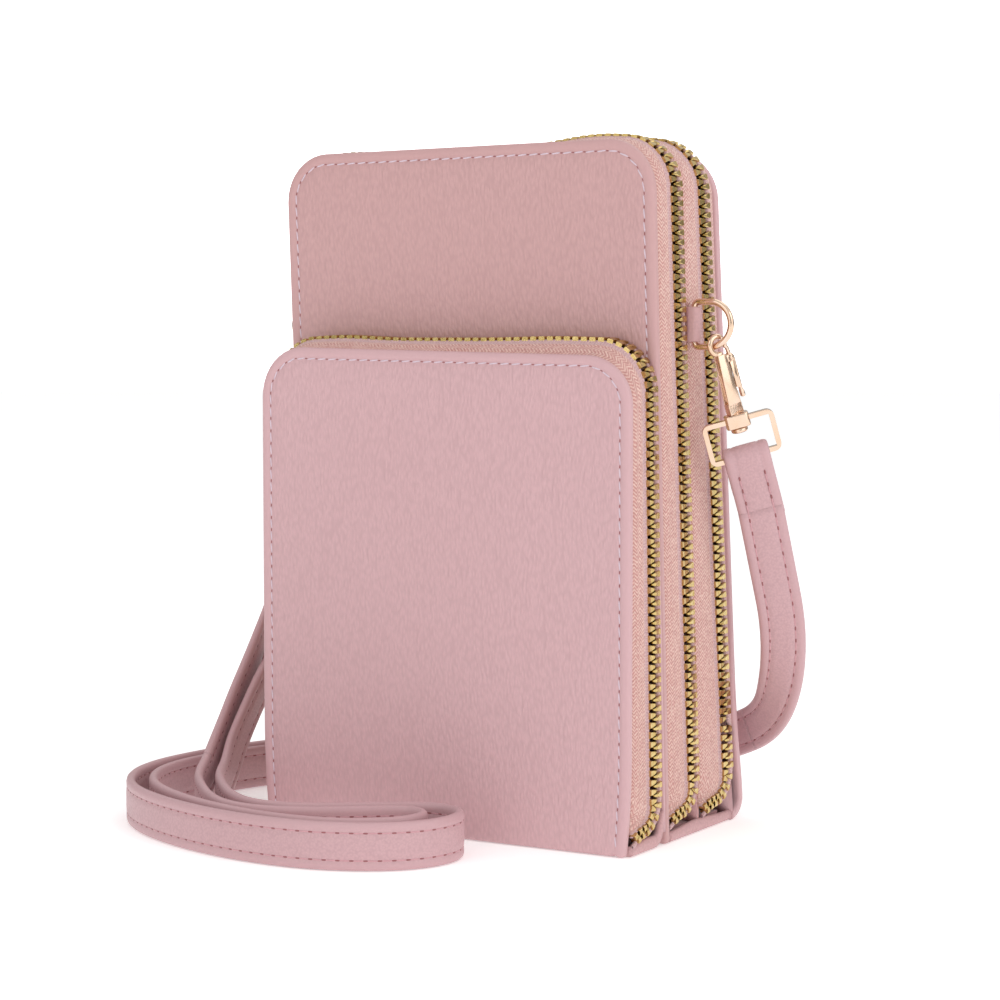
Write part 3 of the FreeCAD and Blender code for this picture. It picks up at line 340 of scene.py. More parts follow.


# Pebbled PU leather: a soft satin film with a fine raised grain of cells 0.65 mm wide and 2.8 times as
# tall, with a painted highlight on top of each pebble and painted shade in the creases between them, and
# smooth where it is turned over the edge.
def pu_leather(name, colour, dark, light, grain_mm=0.65, depth=0.00019, roughness=0.44, stretch=2.8):
    material, tree, shader = blank_material(name)
    place = own_place(tree)
    height = grain_height(tree, place, grain_mm, stretch)
    grained = ranged(tree, kept_number(tree, "inset"), 0.2, 1.0, 1.5, 4.2, interpolation_type="SMOOTHSTEP")
    broad = mixed(tree, cloudy(tree, place, 14.0, 1.0, 0.4), dark, light)
    # painted light: each pebble's top is coloured lighter and the creases between pebbles darker
    pebble_highlight_and_crease_shade = ranged(tree, height, 1.035, 0.93, 0.2, 0.75)
    rough_height = maths(tree, "MULTIPLY_ADD", cloudy(tree, place, 2200.0), 0.15,
                         maths(tree, "MULTIPLY", height, -1.0))
    plug(tree, shader, {
        "Base Color": toned(tree, mixed(tree, 0.6, broad, colour), pebble_highlight_and_crease_shade, grained),
        "Normal": bumped(tree, rough_height, depth, grained),
        "Roughness": ranged(tree, height, roughness - 0.06, roughness + 0.12, 0.2, 0.8),
        "IOR": 1.48, "Specular IOR Level": 0.42, "Sheen Weight": 0.08, "Sheen Roughness": 0.5,
    })
    return material


strap_leather = pu_leather("smooth_pu_leather_strap", "#CAA4A8", "#C59EA2", "#CFAAAF", grain_mm=0.6,
                           depth=0.00006, roughness=0.44, stretch=1.0)

route_points = [point for point, _ in STRAP_ROUTE]
across_points = [
    tuple(p + a * STRAP_SIDE for p, a in zip(point, Vector(across).normalized()))
    for point, across in STRAP_ROUTE
]
strap_line = smooth_line(route_points)
strap_side_line = smooth_line(across_points)

# Section of the folded strip: flat faces with a shallow sewn channel, and rolled edges.
half_w = STRAP_WIDTH / 2
stitch_at = half_w - STRAP_STITCH_IN
STRAP_SECTION = [
    (-half_w, 0), (-half_w + 0.1, 0.55), (-half_w + 0.5, 1.0), (-half_w + 1.2, 1.2),
    (-stitch_at - 0.5, 1.17), (-stitch_at, 0.93), (-stitch_at + 0.5, 1.17), (-1.6, 1.24),
]
STRAP_SECTION += [(-x, y) for x, y in reversed(STRAP_SECTION)]
STRAP_SECTION += [(x, -y) for x, y in reversed(STRAP_SECTION[1:-1])]


def strap_frames():
    """Centre, heading, across and thin directions at every point of the strap's line."""
    found = []
    count = len(strap_line)
    for i, (centre, side) in enumerate(zip(strap_line, strap_side_line)):
        before = strap_line[max(i - 1, 0)]
        after = strap_line[min(i + 1, count - 1)]
        heading = (after - before).normalized()
        across = side - centre
        across = (across - heading * across.dot(heading)).normalized()
        found.append((centre, heading, across, heading.cross(across).normalized()))
    return found


def reach_along(line):
    """How far each point of a line is along it."""
    reach = [0.0]
    for a, b in zip(line, line[1:]):
        reach.append(reach[-1] + math.dist(a, b))
    return reach


def stations_at(reach, places):
    """The segment of a line that each distance along it falls in, and how far into the segment."""
    k = 0
    for at in places:
        while k < len(reach) - 2 and reach[k + 1] < at:
            k += 1
        yield k, (at - reach[k]) / max(reach[k + 1] - reach[k], 1e-9)


frames = strap_frames()
strap_reach = reach_along(strap_line)


def strap_length(name, first, last):
    """One length of the strap between two stations, with closed ends."""
    points = []
    for centre, _, across, thin in frames[first:last + 1]:
        points += [centre + across * (x * MM) + thin * (y * MM) for x, y in STRAP_SECTION]
    count = last - first + 1
    edge = [STRAP_WIDTH / 2 - abs(x) + 0.8 for x, _ in STRAP_SECTION] * count
    return outward(new_piece(name, points, loft(len(STRAP_SECTION), count), strap_leather,
                             attributes={"inset": edge}))


def station_near(point, low, high):
    """The station between two others that is nearest a point in mm."""
    target = Vector(point) * MM
    return min(range(low, high), key=lambda i: (strap_line[i] - target).length)


last_station = len(strap_line) - 1
right_join = station_near((54.5, 43, 22.6), 0, last_station // 3)
left_join = station_near((-78, -28.5, 9.3), last_station * 2 // 3, last_station)
STRAP_PARTS = {
    "right": ("strap_right_drop", 0, right_join),
    "floor": ("strap_floor_run", right_join, left_join),
    "left": ("strap_left_drop", left_join, last_station),
}


def hang(piece, part):
    """The run on the floor moves with the bag; each drop's place is baked into its mesh."""
    if part == "right":
        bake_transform(piece)
    elif part == "left":
        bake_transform(piece)
    else:
        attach(piece, "bag")


for part, (node, first, last) in STRAP_PARTS.items():
    piece = strap_length(f"{node}_sewn", first, last)
    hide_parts(node)
    hang(piece, part)


# ---------------------------------------------------------------- Outer panels
# Each is pebbled PU leather turned over its own edges round a board, with a rounded lower fold.
# The turned edge is smooth and full, and the face lies a little lower along the seam.
PANEL_STACK = 2.4
HALF_WIDTH = 56.0
CORNER = 13.0
FOLD_HEIGHT = 1.2
STITCH_INSET = 2.9
# each panel's head height, the depth of its fold and its lean in degrees
PANELS = {
    "pocket_front": (125.8, -31.8, 0.0),
    "main_front": (178.8, -10.8, 2.98),
    "main_back": (178.8, 31.8, 5.39),
}

panel_leather = pu_leather("pebbled_pu_leather_panel", "#D1AAAE", "#CBA3A6", "#D6B1B5")
# The main front's upper panel is the same leather in a darker colour: painted shade.
shaded_upper_leather = pu_leather("pebbled_pu_leather_upper_panel", "#C99F9F", "#C39897", "#CEA6A6")


def arch_row(inset, head, foot, rows, turn_steps, across, ease=1.0):
    """Points (x, z) up the left side, over the top and down the right of an inset arch.

    An ease above 1 sets the rows closer together near the foot.
    """
    half, top, turn = HALF_WIDTH - inset, head - inset, max(CORNER - inset, 0.6)
    knee = top - turn
    side = [(-half, foot + (knee - foot) * (i / rows) ** ease) for i in range(rows)]
    bend = [
        (-half + turn - turn * math.cos(a), knee + turn * math.sin(a))
        for a in (math.pi / 2 * i / turn_steps for i in range(turn_steps))
    ]
    crown = [(-half + turn + 2 * (half - turn) * i / across, top) for i in range(across + 1)]
    left = side + bend
    return left + crown + [(-x, z) for x, z in reversed(left)]


def leaning(point, fold_depth, lean_deg):
    """A panel's own point (x, depth, height) in mm, stood on its fold line and leaned."""
    x, y, z = point
    c, s = math.cos(math.radians(lean_deg)), math.sin(math.radians(lean_deg))
    return Vector((x, fold_depth + y * c - z * s, FOLD_HEIGHT + y * s + z * c)) * MM


ROWS, TURN_STEPS, ACROSS = 56, 10, 36


# How each panel lies once it is sewn: its own point (x, depth, height) in mm, a little moved.
def as_cut(x, y, z):
    return x, y, z


def pocket_top(x):
    """How far the pocket panel's top stands above its drawn height: it runs down to the right."""
    return -0.25 - 1.05 * x / HALF_WIDTH


def main_top(x):
    """The main front's top runs up to the right."""
    return 0.15 + 0.45 * x / HALF_WIDTH


def pocket_lie(x, y, z):
    """The pocket's foot is drawn in."""
    high, low = max(0.0, (z - 85.0) / 40.0), max(0.0, 1.0 - z / 26.0)
    return x * (1 - 0.022 * low * low), y, z + pocket_top(x) * high * high


def main_lie(x, y, z):
    high = max(0.0, (z - 139.0) / 40.0)
    return x, y, z + main_top(x) * high * high


HEEL_ROUND, HEEL_HEIGHT, HEEL_REACH = 5.0, 4.147, math.radians(84.6)


def back_lie(x, y, z):
    """The back's foot is full and rolls forward under the bag with a 5 mm round."""
    flare = math.exp(-((z - 4.0) / 17.0) ** 2)
    x *= 1 + 0.008 * flare
    shift = 1.1 * flare
    if z >= HEEL_HEIGHT:
        return x, y + shift, z
    centre = PANEL_STACK / 2 - HEEL_ROUND
    reach = y - centre
    angle = min((HEEL_HEIGHT - z) / HEEL_ROUND, HEEL_REACH)
    rest = max(0.0, HEEL_HEIGHT - z - HEEL_ROUND * HEEL_REACH)
    bent = (centre + reach * math.cos(angle) - rest * math.sin(angle),
            HEEL_HEIGHT - reach * math.sin(angle) - rest * math.cos(angle))
    return x, bent[0] + shift * math.cos(angle) ** 2, bent[1]


def level(*place):
    """No swell anywhere."""
    return 0.0


def strip(a, b):
    """Faces between two rows of points."""
    return [(a[i], a[i + 1], b[i + 1], b[i]) for i in range(len(a) - 1)]


def leather_panel(name, material, profile, foot, head, fold_depth, lean_deg, outer, crown, fold=True,
                  lie=as_cut, ease=1.0):
    """A panel of leather lofted from its edge inwards.

    The profile lists (inset, depth) from the inner side round the edge to the face, for a panel
    whose face looks to -Y; outer is -1 for that and 1 for a face that looks to +Y.
    """
    points, insets, faces = [], [], []
    rows_of = []
    for inset, depth in profile:
        row = []
        for x, z in arch_row(inset, head, foot, ROWS, TURN_STEPS, ACROSS, ease):
            sag = crown(x, z) if depth < -1.05 * PANEL_STACK / 2 + 0.05 or inset > 5 else 0.0
            row.append(len(points))
            points.append((x, (depth - sag) * -outer, z))
            insets.append(inset)
        rows_of.append(row)
    count = len(rows_of[0])
    for a, b in zip(rows_of, rows_of[1:]):
        faces += strip(a, b)
    # the middle of the face, from the left side of the last row to its right side
    last_depth = profile[-1][1]
    ring = rows_of[-1]
    grid = []
    for i in range(ROWS + TURN_STEPS):
        left, right = points[ring[i]], points[ring[count - 1 - i]]
        row = [ring[i]]
        for k in range(1, ACROSS):
            t = k / ACROSS
            x, z = left[0] + (right[0] - left[0]) * t, left[2]
            row.append(len(points))
            points.append((x, (last_depth - crown(x, z)) * -outer, z))
            insets.append(12.0)
        row.append(ring[count - 1 - i])
        grid.append(row)
    grid.append(ring[ROWS + TURN_STEPS:ROWS + TURN_STEPS + ACROSS + 1])
    for a, b in zip(grid, grid[1:]):
        faces += strip(a, b)
    if fold:
        # the lower edge: the face rolls under about the fold line and comes up inside
        outside = [row for row in rows_of if points[row[0]][1] * outer > 0]
        bottom = [row[0] for row in outside] + grid[0][1:-1] + [row[-1] for row in reversed(outside)]
        previous = bottom
        steps = 8
        for step in range(1, steps + 1):
            angle = math.pi * step / steps
            fresh = []
            for index in bottom:
                x, y, z = points[index]
                fresh.append(len(points))
                points.append((x, y * math.cos(angle), -abs(y) * math.sin(angle)))
                insets.append(insets[index])
            faces += strip(previous, fresh)
            previous = fresh
        rim = [k for k, index in enumerate(previous) if abs(points[index][1]) > 1.15]
        lip = []
        for k in rim:
            x, y, z = points[previous[k]]
            lip.append(len(points))
            points.append((x, y, 1.6))
            insets.append(6.0)
        for a, b, k in zip(lip, lip[1:], rim):
            faces.append((previous[k], previous[k + 1], b, a))
    placed = [leaning(lie(*p), fold_depth, lean_deg) for p in points]
    piece = outward(new_piece(name, placed, faces, material, attributes={"inset": insets}), 0.00002, True)
    return piece


# The turned edge's section: inner rim, rounded edge, face, sewn channel, field of the face.
TURNED_EDGE = [
    (2.55, 0.1), (2.5, 0.95), (2.35, 1.16), (2.0, 1.2), (0.9, 1.2), (0.4, 1.08), (0.12, 0.8), (0.0, 0.5),
    (0.0, 0.0), (0.0, -0.5), (0.12, -0.8), (0.4, -1.08), (0.9, -1.25), (1.5, -1.32), (2.0, -1.28),
    (2.35, -1.18), (2.65, -1.0), (2.9, -0.9), (3.2, -1.02), (3.6, -1.16), (4.6, -1.22), (8.0, -1.2),
]


def pillow(height, low=0.0, most=0.7):
    """A gentle fullness of a panel's face, nothing below a height and at the edges."""
    def crown(x, z):
        u = max(0.0, 1 - (abs(x) / (HALF_WIDTH - 6)) ** 2.4)
        w = max(0.0, min(1.0, (z - low) / (height - low)))
        v = max(0.0, math.sin(math.pi * w)) ** 0.6
        ripple = noise.noise(Vector((x * 0.035, z * 0.03, height))) * 0.12
        return (most + ripple) * u * v
    return crown


for panel, leather, crown, lie in (("pocket_front", panel_leather, pillow(125.8), pocket_lie),
                                   ("main_front", shaded_upper_leather, pillow(178.8, 128.0, 0.4), main_lie)):
    skin = leather_panel(f"{panel}_leather_skin", leather, TURNED_EDGE, 0.0, *PANELS[panel], -1, crown,
                         lie=lie)
    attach(skin, panel)
    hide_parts(f"{panel}_leather")
skin = leather_panel("main_back_leather_skin", panel_leather, TURNED_EDGE, -4.2, *PANELS["main_back"], 1,
                     pillow(178.8, 0.0, 0.6), fold=False, lie=back_lie, ease=1.6)
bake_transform(skin)
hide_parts("main_back_leather")


# ---------------------------------------------------------------- Edge stitching
# A row of lock stitches 2.9 mm in from each panel's edge, one every 3.3 mm, in pale lilac thread.
# Each thread lies in the sewn channel and dives into a needle hole at both ends; a small dark piece in each
# hole is painted shade.
STITCH_PITCH = 3.3
THREAD = 0.42
THREAD_SLANT = math.radians(7)
THREAD_DEPTH, HOLE_DEPTH = 0.98, 0.93
END_GAP = 0.6


def set_along(master, places, name):
    """Copies of a modelled piece, each at its own place, joined as one mesh."""
    corners = [vertex.co.copy() for vertex in master.data.vertices]
    sides = [tuple(polygon.vertices) for polygon in master.data.polygons]
    points, faces = [], []
    for place in places:
        first = len(points)
        flipped = place.determinant() < 0
        points += [tuple(place @ corner) for corner in corners]
        for side in sides:
            face = tuple(first + index for index in side)
            faces.append(face[::-1] if flipped else face)
    return new_piece(name, points, faces, master.data.materials[0], master.data.polygons[0].use_smooth)


def basis(origin, x_axis, y_axis, z_axis):
    """The place of a copy: its origin in metres and where its own three axes point."""
    rows = [list(values) for values in zip(x_axis, y_axis, z_axis, origin)]
    return Matrix(rows + [[0, 0, 0, 1]])


# Bonded polyester sewing thread: a soft sheen and a slight twist. In a dark leather colour it also makes
# the painted shade set in each needle hole.
def sewing_thread(name, colour):
    material, tree, shader = blank_material(name)
    twist = cloudy(tree, own_place(tree), 1500.0, 1.0)
    plug(tree, shader, {
        "Base Color": toned(tree, colour, ranged(tree, twist, 0.86, 1.1)),
        "Normal": bumped(tree, twist, 0.00005, 0.6), "Roughness": 0.45, "Sheen Weight": 0.3,
    })
    return material


pale_thread = sewing_thread("bonded_polyester_thread_lilac", "#DDCBD6")
# painted shade: a darkened leather colour for the small pieces set in the needle holes
hole_shade = sewing_thread("needle_hole_in_leather", "#9A5C5E")


def stitch_master(name, length, wide, material):
    """One thread lying on the leather: a slim rod, swollen in the middle, pinched at its ends."""
    bpy.ops.object.select_all(action="DESELECT")
    bpy.ops.mesh.primitive_uv_sphere_add(segments=8, ring_count=6, radius=0.5 * MM,
                                         rotation=(0, math.pi / 2, 0))
    thread = bpy.context.object
    thread.name = name
    bpy.ops.object.transform_apply(location=False, rotation=True, scale=False)
    thread.scale = (length, wide, wide * 0.8)
    bpy.ops.object.transform_apply(location=False, rotation=False, scale=True)
    for vertex in thread.data.vertices:
        fullness = abs(vertex.co.x) / (length * 0.5 * MM)
        vertex.co.y *= 1.0 + 0.25 * fullness
    bpy.ops.object.shade_smooth()
    thread.data.materials.append(material)
    return thread


thread_master = stitch_master("thread_master", 2.6, THREAD, pale_thread)
hole_master = stitch_master("hole_master", 0.85, THREAD * 0.9, hole_shade)


def walk(line, pitch, offset):
    """Places and headings along a line at a pitch, from an offset on, clear of its end."""
    reach = reach_along(line)
    count = math.ceil((reach[-1] - END_GAP - offset) / pitch)
    found = []
    for k, t in stations_at(reach, [offset + n * pitch for n in range(count)]):
        a, b = Vector(line[k]), Vector(line[k + 1])
        found.append((a.lerp(b, t), (b - a).normalized()))
    return found


def edge_stitches(panel, foot, outer, lie):
    head, fold_depth, lean_deg = PANELS[panel]
    turn = Matrix.Rotation(math.radians(lean_deg), 3, "X")
    line = arch_row(STITCH_INSET, head, foot, 60, 24, 30)
    whole = reach_along(line)[-1]
    pitch = whole / (whole // STITCH_PITCH)

    def on_panel(x, depth, z):
        return leaning(lie(x, outer * depth, z), fold_depth, lean_deg)

    threads, holes = [], []
    out = turn @ Vector((0, outer, 0))
    for (x, z), (hx, hz) in walk(line, pitch, pitch / 2):
        along = turn @ Vector((hx, 0, hz))
        side = out.cross(along)
        heading = along * math.cos(THREAD_SLANT) + side * math.sin(THREAD_SLANT)
        threads.append(basis(on_panel(x, THREAD_DEPTH, z), heading, out.cross(heading), out))
        x, z = x + hx * STITCH_PITCH / 2, z + hz * STITCH_PITCH / 2
        if z > foot + 0.5:
            holes.append(basis(on_panel(x, HOLE_DEPTH, z), along, side, out))
    for label, master, places in (("threads", thread_master, threads),
                                  ("needle_holes", hole_master, holes)):
        piece = set_along(master, places, f"{panel}_{label}")
        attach(piece, panel)


edge_stitches("pocket_front", 1.0, -1, pocket_lie)
edge_stitches("main_front", 3.0, -1, main_lie)
edge_stitches("main_back", 8.0, 1, back_lie)

# The strap's two rows: a fine line of thread in each channel with a small dark piece, painted shade, in a
# needle hole every 3.4 mm, on both faces.
STRAP_PITCH = 3.4
strap_thread = sewing_thread("bonded_polyester_thread_rose", "#CF9CA3")
strap_thread_master = stitch_master("strap_thread_master", 2.7, 0.42, strap_thread)
strap_hole_master = stitch_master("strap_hole_master", 1.3, 0.5, hole_shade)


def strap_stitches(part, first, last):
    count = int((strap_reach[last] - strap_reach[first]) // (STRAP_PITCH * MM))
    pitch = (strap_reach[last] - strap_reach[first]) / count
    threads, holes = [], []
    for share, lift, places in ((0.25, 0.98, threads), (0.75, 0.96, holes)):
        spots = [strap_reach[first] + (n + share) * pitch for n in range(count)]
        for k, t in stations_at(strap_reach, spots):
            centre, heading, across, thin = (p.lerp(q, t) for p, q in zip(frames[k], frames[k + 1]))
            for side in (-stitch_at, stitch_at):
                for face in (1, -1):
                    out = (thin * face).normalized()
                    spot = centre + across * (side * MM) + thin * (face * lift * MM)
                    places.append(basis(spot, heading, out.cross(heading), out))
    for label, master, places in (("threads", strap_thread_master, threads),
                                  ("needle_holes", strap_hole_master, holes)):
        piece = set_along(master, places, f"strap_{part}_{label}")
        hang(piece, part)


for part, (node, first, last) in STRAP_PARTS.items():
    strap_stitches(part, first, last)
for master in (thread_master, hole_master, strap_thread_master, strap_hole_master):
    bpy.data.objects.remove(master)


# ---------------------------------------------------------------- Zip tapes
# Two woven polyester tapes to each zip, 0.6 mm thick. Each has a cord along its inner edge that
# the teeth grip, a ribbed band, and a chevron weave beyond it, and is sewn along a panel or
# along the seam between the two main compartments. The lower ends turn forward with the teeth.
TAPE_MID = 55.5
TAPE_TURN = 12.5
HALF_CHAIN = 2.8
BEND_ROUND = 7.0
TAIL_STEP = 1.1
TAIL_DROP = 1.5
TAIL_BOW = 2.4
BEND_SHARE = 0.4
STEPS = (18, 14, 46, 10, 7)


def side_line(foot, lean_deg):
    """A leaning line in the side view: its depth at the floor and its change with height."""
    return foot, -math.tan(math.radians(lean_deg))


def panel_face(fold_depth, lean_deg):
    half, angle = PANEL_STACK / 2, math.radians(lean_deg)
    return side_line(fold_depth + half / math.cos(angle) + half * math.tan(angle), lean_deg)


def moved(line, by):
    return line[0] + by, line[1]


def depth_at(line, height):
    return line[0] + line[1] * height


POCKET_INNER = panel_face(*PANELS["pocket_front"][1:])
MAIN_INNER = panel_face(*PANELS["main_front"][1:])
POCKET_REAR = moved(MAIN_INNER, -3.4)
BACK_INNER = moved(panel_face(*PANELS["main_back"][1:]), -PANEL_STACK)
DIVIDER_LEAN = 4.29
SEAM = side_line(-12.0 + 45.0 * 0.46222, DIVIDER_LEAN)
POCKET_CHAIN = side_line(-13.0 - 5.4, 1.72)
MAIN_CHAIN = moved(SEAM, -4.8)
REAR_CHAIN = side_line(33.0 - 7.8, 6.16)
DIVIDER_HALF = 0.9 / math.cos(math.radians(DIVIDER_LEAN))


# Over the top a zip stands up in a crown; its stiff teeth swell a little more near both corners.
def pocket_crown(x):
    return 2.5 + 0.7 * math.exp(-((x + 34) / 11) ** 2) + 0.35 * math.exp(-((x - 30) / 12) ** 2)


def main_crown(x):
    return 2.6 * math.exp(-((x - 37) / 17) ** 2) + 0.7 * math.exp(-((x + 39) / 10) ** 2) - 0.9


def bent_path(line, tail, turn, end, height, crown, side, steps=STEPS):
    """One side of a zip from the middle of the top down and round to its tail, as (x, y, z)."""
    across, corner, down, bend, run = steps
    flat = HALF_WIDTH - CORNER
    path = []
    for i in range(across):
        x = flat * i / across
        top = height - HALF_WIDTH + TAPE_MID + crown(x * side)
        path.append((x, depth_at(line, top), top))
    rise = crown(flat * side)
    knee = height - CORNER + rise
    for i in range(corner):
        a = math.pi / 2 * i / corner
        z = knee + TAPE_TURN * math.cos(a)
        path.append((flat + TAPE_TURN * math.sin(a), depth_at(line, z), z))
    up = Vector((line[1], 1.0)).normalized()
    forward = Vector((-1.0, 0.0))
    half_angle = up.angle(forward) / 2
    reach = turn / math.tan(half_angle)
    corner_at = Vector((depth_at(line, tail), tail))
    start = corner_at + up * reach
    inside = (up + forward).normalized()
    middle = corner_at + inside * (turn / math.sin(half_angle))
    for i in range(down):
        z = knee + (start.y - knee) * i / down
        path.append((TAPE_MID, depth_at(line, z), z))
    first = start - middle
    sweep = math.pi - 2 * half_angle
    for i in range(bend):
        a = -sweep * i / bend
        c, s = math.cos(a), math.sin(a)
        path.append((TAPE_MID, middle.x + first.x * c - first.y * s, middle.y + first.x * s + first.y * c))
    last = corner_at + forward * reach
    goal = depth_at(end, tail)
    for i in range(run + 1):
        y = last.x + (goal - last.x) * i / run
        path.append((TAPE_MID, y, tail))
    # the tail runs down as it goes forward
    first_bent = across + corner + down
    for i in range(first_bent, len(path)):
        if i < first_bent + bend:
            part = BEND_SHARE * (i - first_bent) / bend
        else:
            part = BEND_SHARE + (1 - BEND_SHARE) * (i - first_bent - bend) / run
        x, y, z = path[i]
        path[i] = (x, y, z + TAIL_BOW * part * (1 - part) - TAIL_DROP * part ** 1.5)
    return path


def straight_path(line, low, height, side, crown):
    """A panel's edge at the heights of a zip, and on down to a height for the zip's tail."""
    like = bent_path(line, low + 1.0, BEND_ROUND, line, height, crown, side)
    straight = sum(STEPS[:3])
    path = [(x, depth_at(line, z), z) for x, _, z in like[:straight + 1]]
    low_start = like[straight][2]
    rest = len(like) - straight - 1
    for i in range(1, rest + 1):
        z = low_start + (low - TAIL_DROP - low_start) * (i / rest) ** 0.7
        path.append((TAPE_MID, depth_at(line, z), z))
    return path


def outward_at(x, z, height):
    """The direction out of the bag at a place on a zip."""
    flat, knee = HALF_WIDTH - CORNER, height - CORNER
    if abs(x) <= flat:
        return Vector((0, 0, 1))
    if z <= knee:
        return Vector((math.copysign(1, x), 0, 0))
    return Vector((x - math.copysign(flat, x), 0, z - knee)).normalized()


# Woven polyester zip tape: a matt cloth whose colour is painted lighter on each raised yarn and darker
# between the yarns, a painted highlight and painted shade. Chevrons run along it; the 2.2 mm next to the
# teeth are a paler lilac band of plain ribs, each raised rib with a painted highlight. The yarns are drawn
# 1.0 mm apart, coarser than the real ones, so that they show.
def woven_tape(name, colour, shade, lift, rib):
    material, tree, shader = blank_material(name)
    along, away = kept_number(tree, "along_mm"), kept_number(tree, "away_mm")
    place = own_place(tree)
    wander = cloudy(tree, place, 320.0, 1.0)

    def from_middle(value):
        """How far a repeating value is from the middle of its repeat."""
        return maths(tree, "ABSOLUTE", maths(tree, "SUBTRACT", maths(tree, "FRACT", value), 0.5))

    column = maths(tree, "MULTIPLY_ADD", wander, 0.25, maths(tree, "MULTIPLY", away, 1 / 2.3))
    slant = maths(tree, "MULTIPLY_ADD", from_middle(column), 2.4,
                  maths(tree, "MULTIPLY_ADD", wander, 0.5, along))
    chevron = maths(tree, "MULTIPLY", from_middle(slant), 2.0)
    ribs = maths(tree, "MULTIPLY", from_middle(maths(tree, "MULTIPLY", along, 1 / 0.82)), 2.0)
    band = ranged(tree, away, 0.0, 1.0, 1.9, 2.5)
    height = add_node(tree, "ShaderNodeMix", {"Factor": band, 2: ribs, 3: chevron}).outputs[0]
    fuzz = maths(tree, "SUBTRACT", cloudy(tree, place, 1100.0), 0.5)
    rough_height = maths(tree, "MULTIPLY_ADD", fuzz, 1.5, height)
    # painted light: the ramp runs from the shade colour between yarns to the lift colour on each raised
    # yarn
    cloth = add_node(tree, "ShaderNodeValToRGB", {"Fac": rough_height})
    ramp = cloth.color_ramp.elements
    ramp[0].position, ramp[0].color = 0.1, hex_colour(shade)
    ramp[1].position, ramp[1].color = 0.95, hex_colour(lift)
    ramp.new(0.5).color = hex_colour(colour)
    rib_band_with_painted_highlight = mixed(tree, maths(tree, "MULTIPLY_ADD", rough_height, 0.35, 0.05), rib, lift)
    plug(tree, shader, {
        "Base Color": mixed(tree, band, rib_band_with_painted_highlight, cloth.outputs["Color"]),
        "Normal": bumped(tree, rough_height, 0.0002, 0.7),
        "Roughness": 0.8, "Sheen Weight": 0.3, "Sheen Roughness": 0.4,
    })
    return material


# colours: the cloth, its painted shade between yarns, its painted highlight on raised yarns, and the rib
# band
tape_cloth = woven_tape("woven_polyester_zip_tape", "#D6A59D", "#C8918B", "#EBCABF", "#CBA5AB")
CORD_ROUND = 0.5
CORD_SIDES = 8
CORD_IN, CORD_UP = 0.55, 0.15
TAPE_HALF = 0.3


def zip_tape(stands_for, chain_side, sewn_side, height, body, low=0.0, high=999.0, sink=0.45):
    """A tape between its toothed edge and its sewn edge, both sides of the bag in one piece.

    chain_side and sewn_side are both given a side, 1 or -1, and answer with its path.
    """
    columns = 7
    points, along, away, faces = [], [], [], []
    for mirror in (1, -1):
        toothed, sewn = chain_side(mirror), sewn_side(mirror)
        keep = [i for i, place in enumerate(toothed) if low <= place[2] <= high]
        reach = reach_along(toothed)
        rows, cords = [], []
        for i in keep:
            a, b = Vector(toothed[i]), Vector(sewn[i])
            width = (b - a).length
            out = outward_at(a.x, a.z, height)
            across = (b - a) / max(width, 0.01)
            spots = []
            for k in range(columns + 1):
                t = k / columns
                roll = 0.35 * max(0.0, t - 0.8) / 0.2
                spot = a.lerp(b, t) - out * (sink * t ** 3 - 0.14 * math.sin(math.pi * t) + roll)
                spots += [(spot + out * TAPE_HALF, width * t), (spot - out * TAPE_HALF, width * t)]
            for k in range(CORD_SIDES):
                angle = 2 * math.pi * k / CORD_SIDES
                spot = a + across * (CORD_IN + CORD_ROUND * math.cos(angle))
                spots.append((spot + out * (CORD_UP + CORD_ROUND * math.sin(angle)), 0.6))
            first = len(points)
            for spot, from_teeth in spots:
                points.append(Vector((spot.x * mirror, spot.y, spot.z)) * MM)
                along.append(reach[i])
                away.append(from_teeth)
            corded = first + 2 * (columns + 1)
            rows.append(list(range(first, corded)))
            cords.append(list(range(corded, corded + CORD_SIDES)))
        for a, b in zip(rows, rows[1:]):
            faces += strip(a[0::2], b[0::2]) + strip(a[1::2], b[1::2])
            faces += strip(a[:2], b[:2]) + strip(a[-2:], b[-2:])
        for a, b in zip(cords, cords[1:]):
            faces += strip(a + a[:1], b + b[:1])
        for row, ring in ((rows[0], cords[0]), (rows[-1], cords[-1])):
            if row is rows[0] and abs(points[row[0]].x) < 1e-6:
                continue
            faces += [tuple(ring)] + strip(row[0::2], row[1::2])
    kept = {"along_mm": along, "away_mm": away}
    tape = outward(new_piece(stands_for.replace("_tape", "_woven_tape"), points, faces, tape_cloth,
                             attributes=kept))
    declare(tape, body, stands_for)


# each zip: its middle line, its tail's height, where the tail ends, its height and its crown
rear_end = moved(SEAM, DIVIDER_HALF + 0.3)
ZIPS = {
    "pocket": (POCKET_CHAIN, 5.4, moved(POCKET_INNER, 0.3), 127.0, pocket_crown),
    "main": (MAIN_CHAIN, 6.9, moved(MAIN_INNER, 0.3), 180.0, main_crown),
    "rear": (REAR_CHAIN, 6.9, rear_end, 180.0, main_crown),
}


def toothed_edge(prefix, rear):
    """The path of a tape's edge beside the teeth, in front of the chain's middle or behind it."""
    chain, tail, end, height, crown = ZIPS[prefix]
    return lambda side: bent_path(moved(chain, (HALF_CHAIN - 0.5) * rear), tail - TAIL_STEP * rear,
                                  BEND_ROUND + HALF_CHAIN * rear, end, height, crown, side)


def panel_edge(line, prefix, crown):
    """The path of a tape's edge that is sewn along a panel."""
    _, tail, _, height, _ = ZIPS[prefix]
    return lambda side: straight_path(line, tail + TAIL_STEP, height, side, crown)


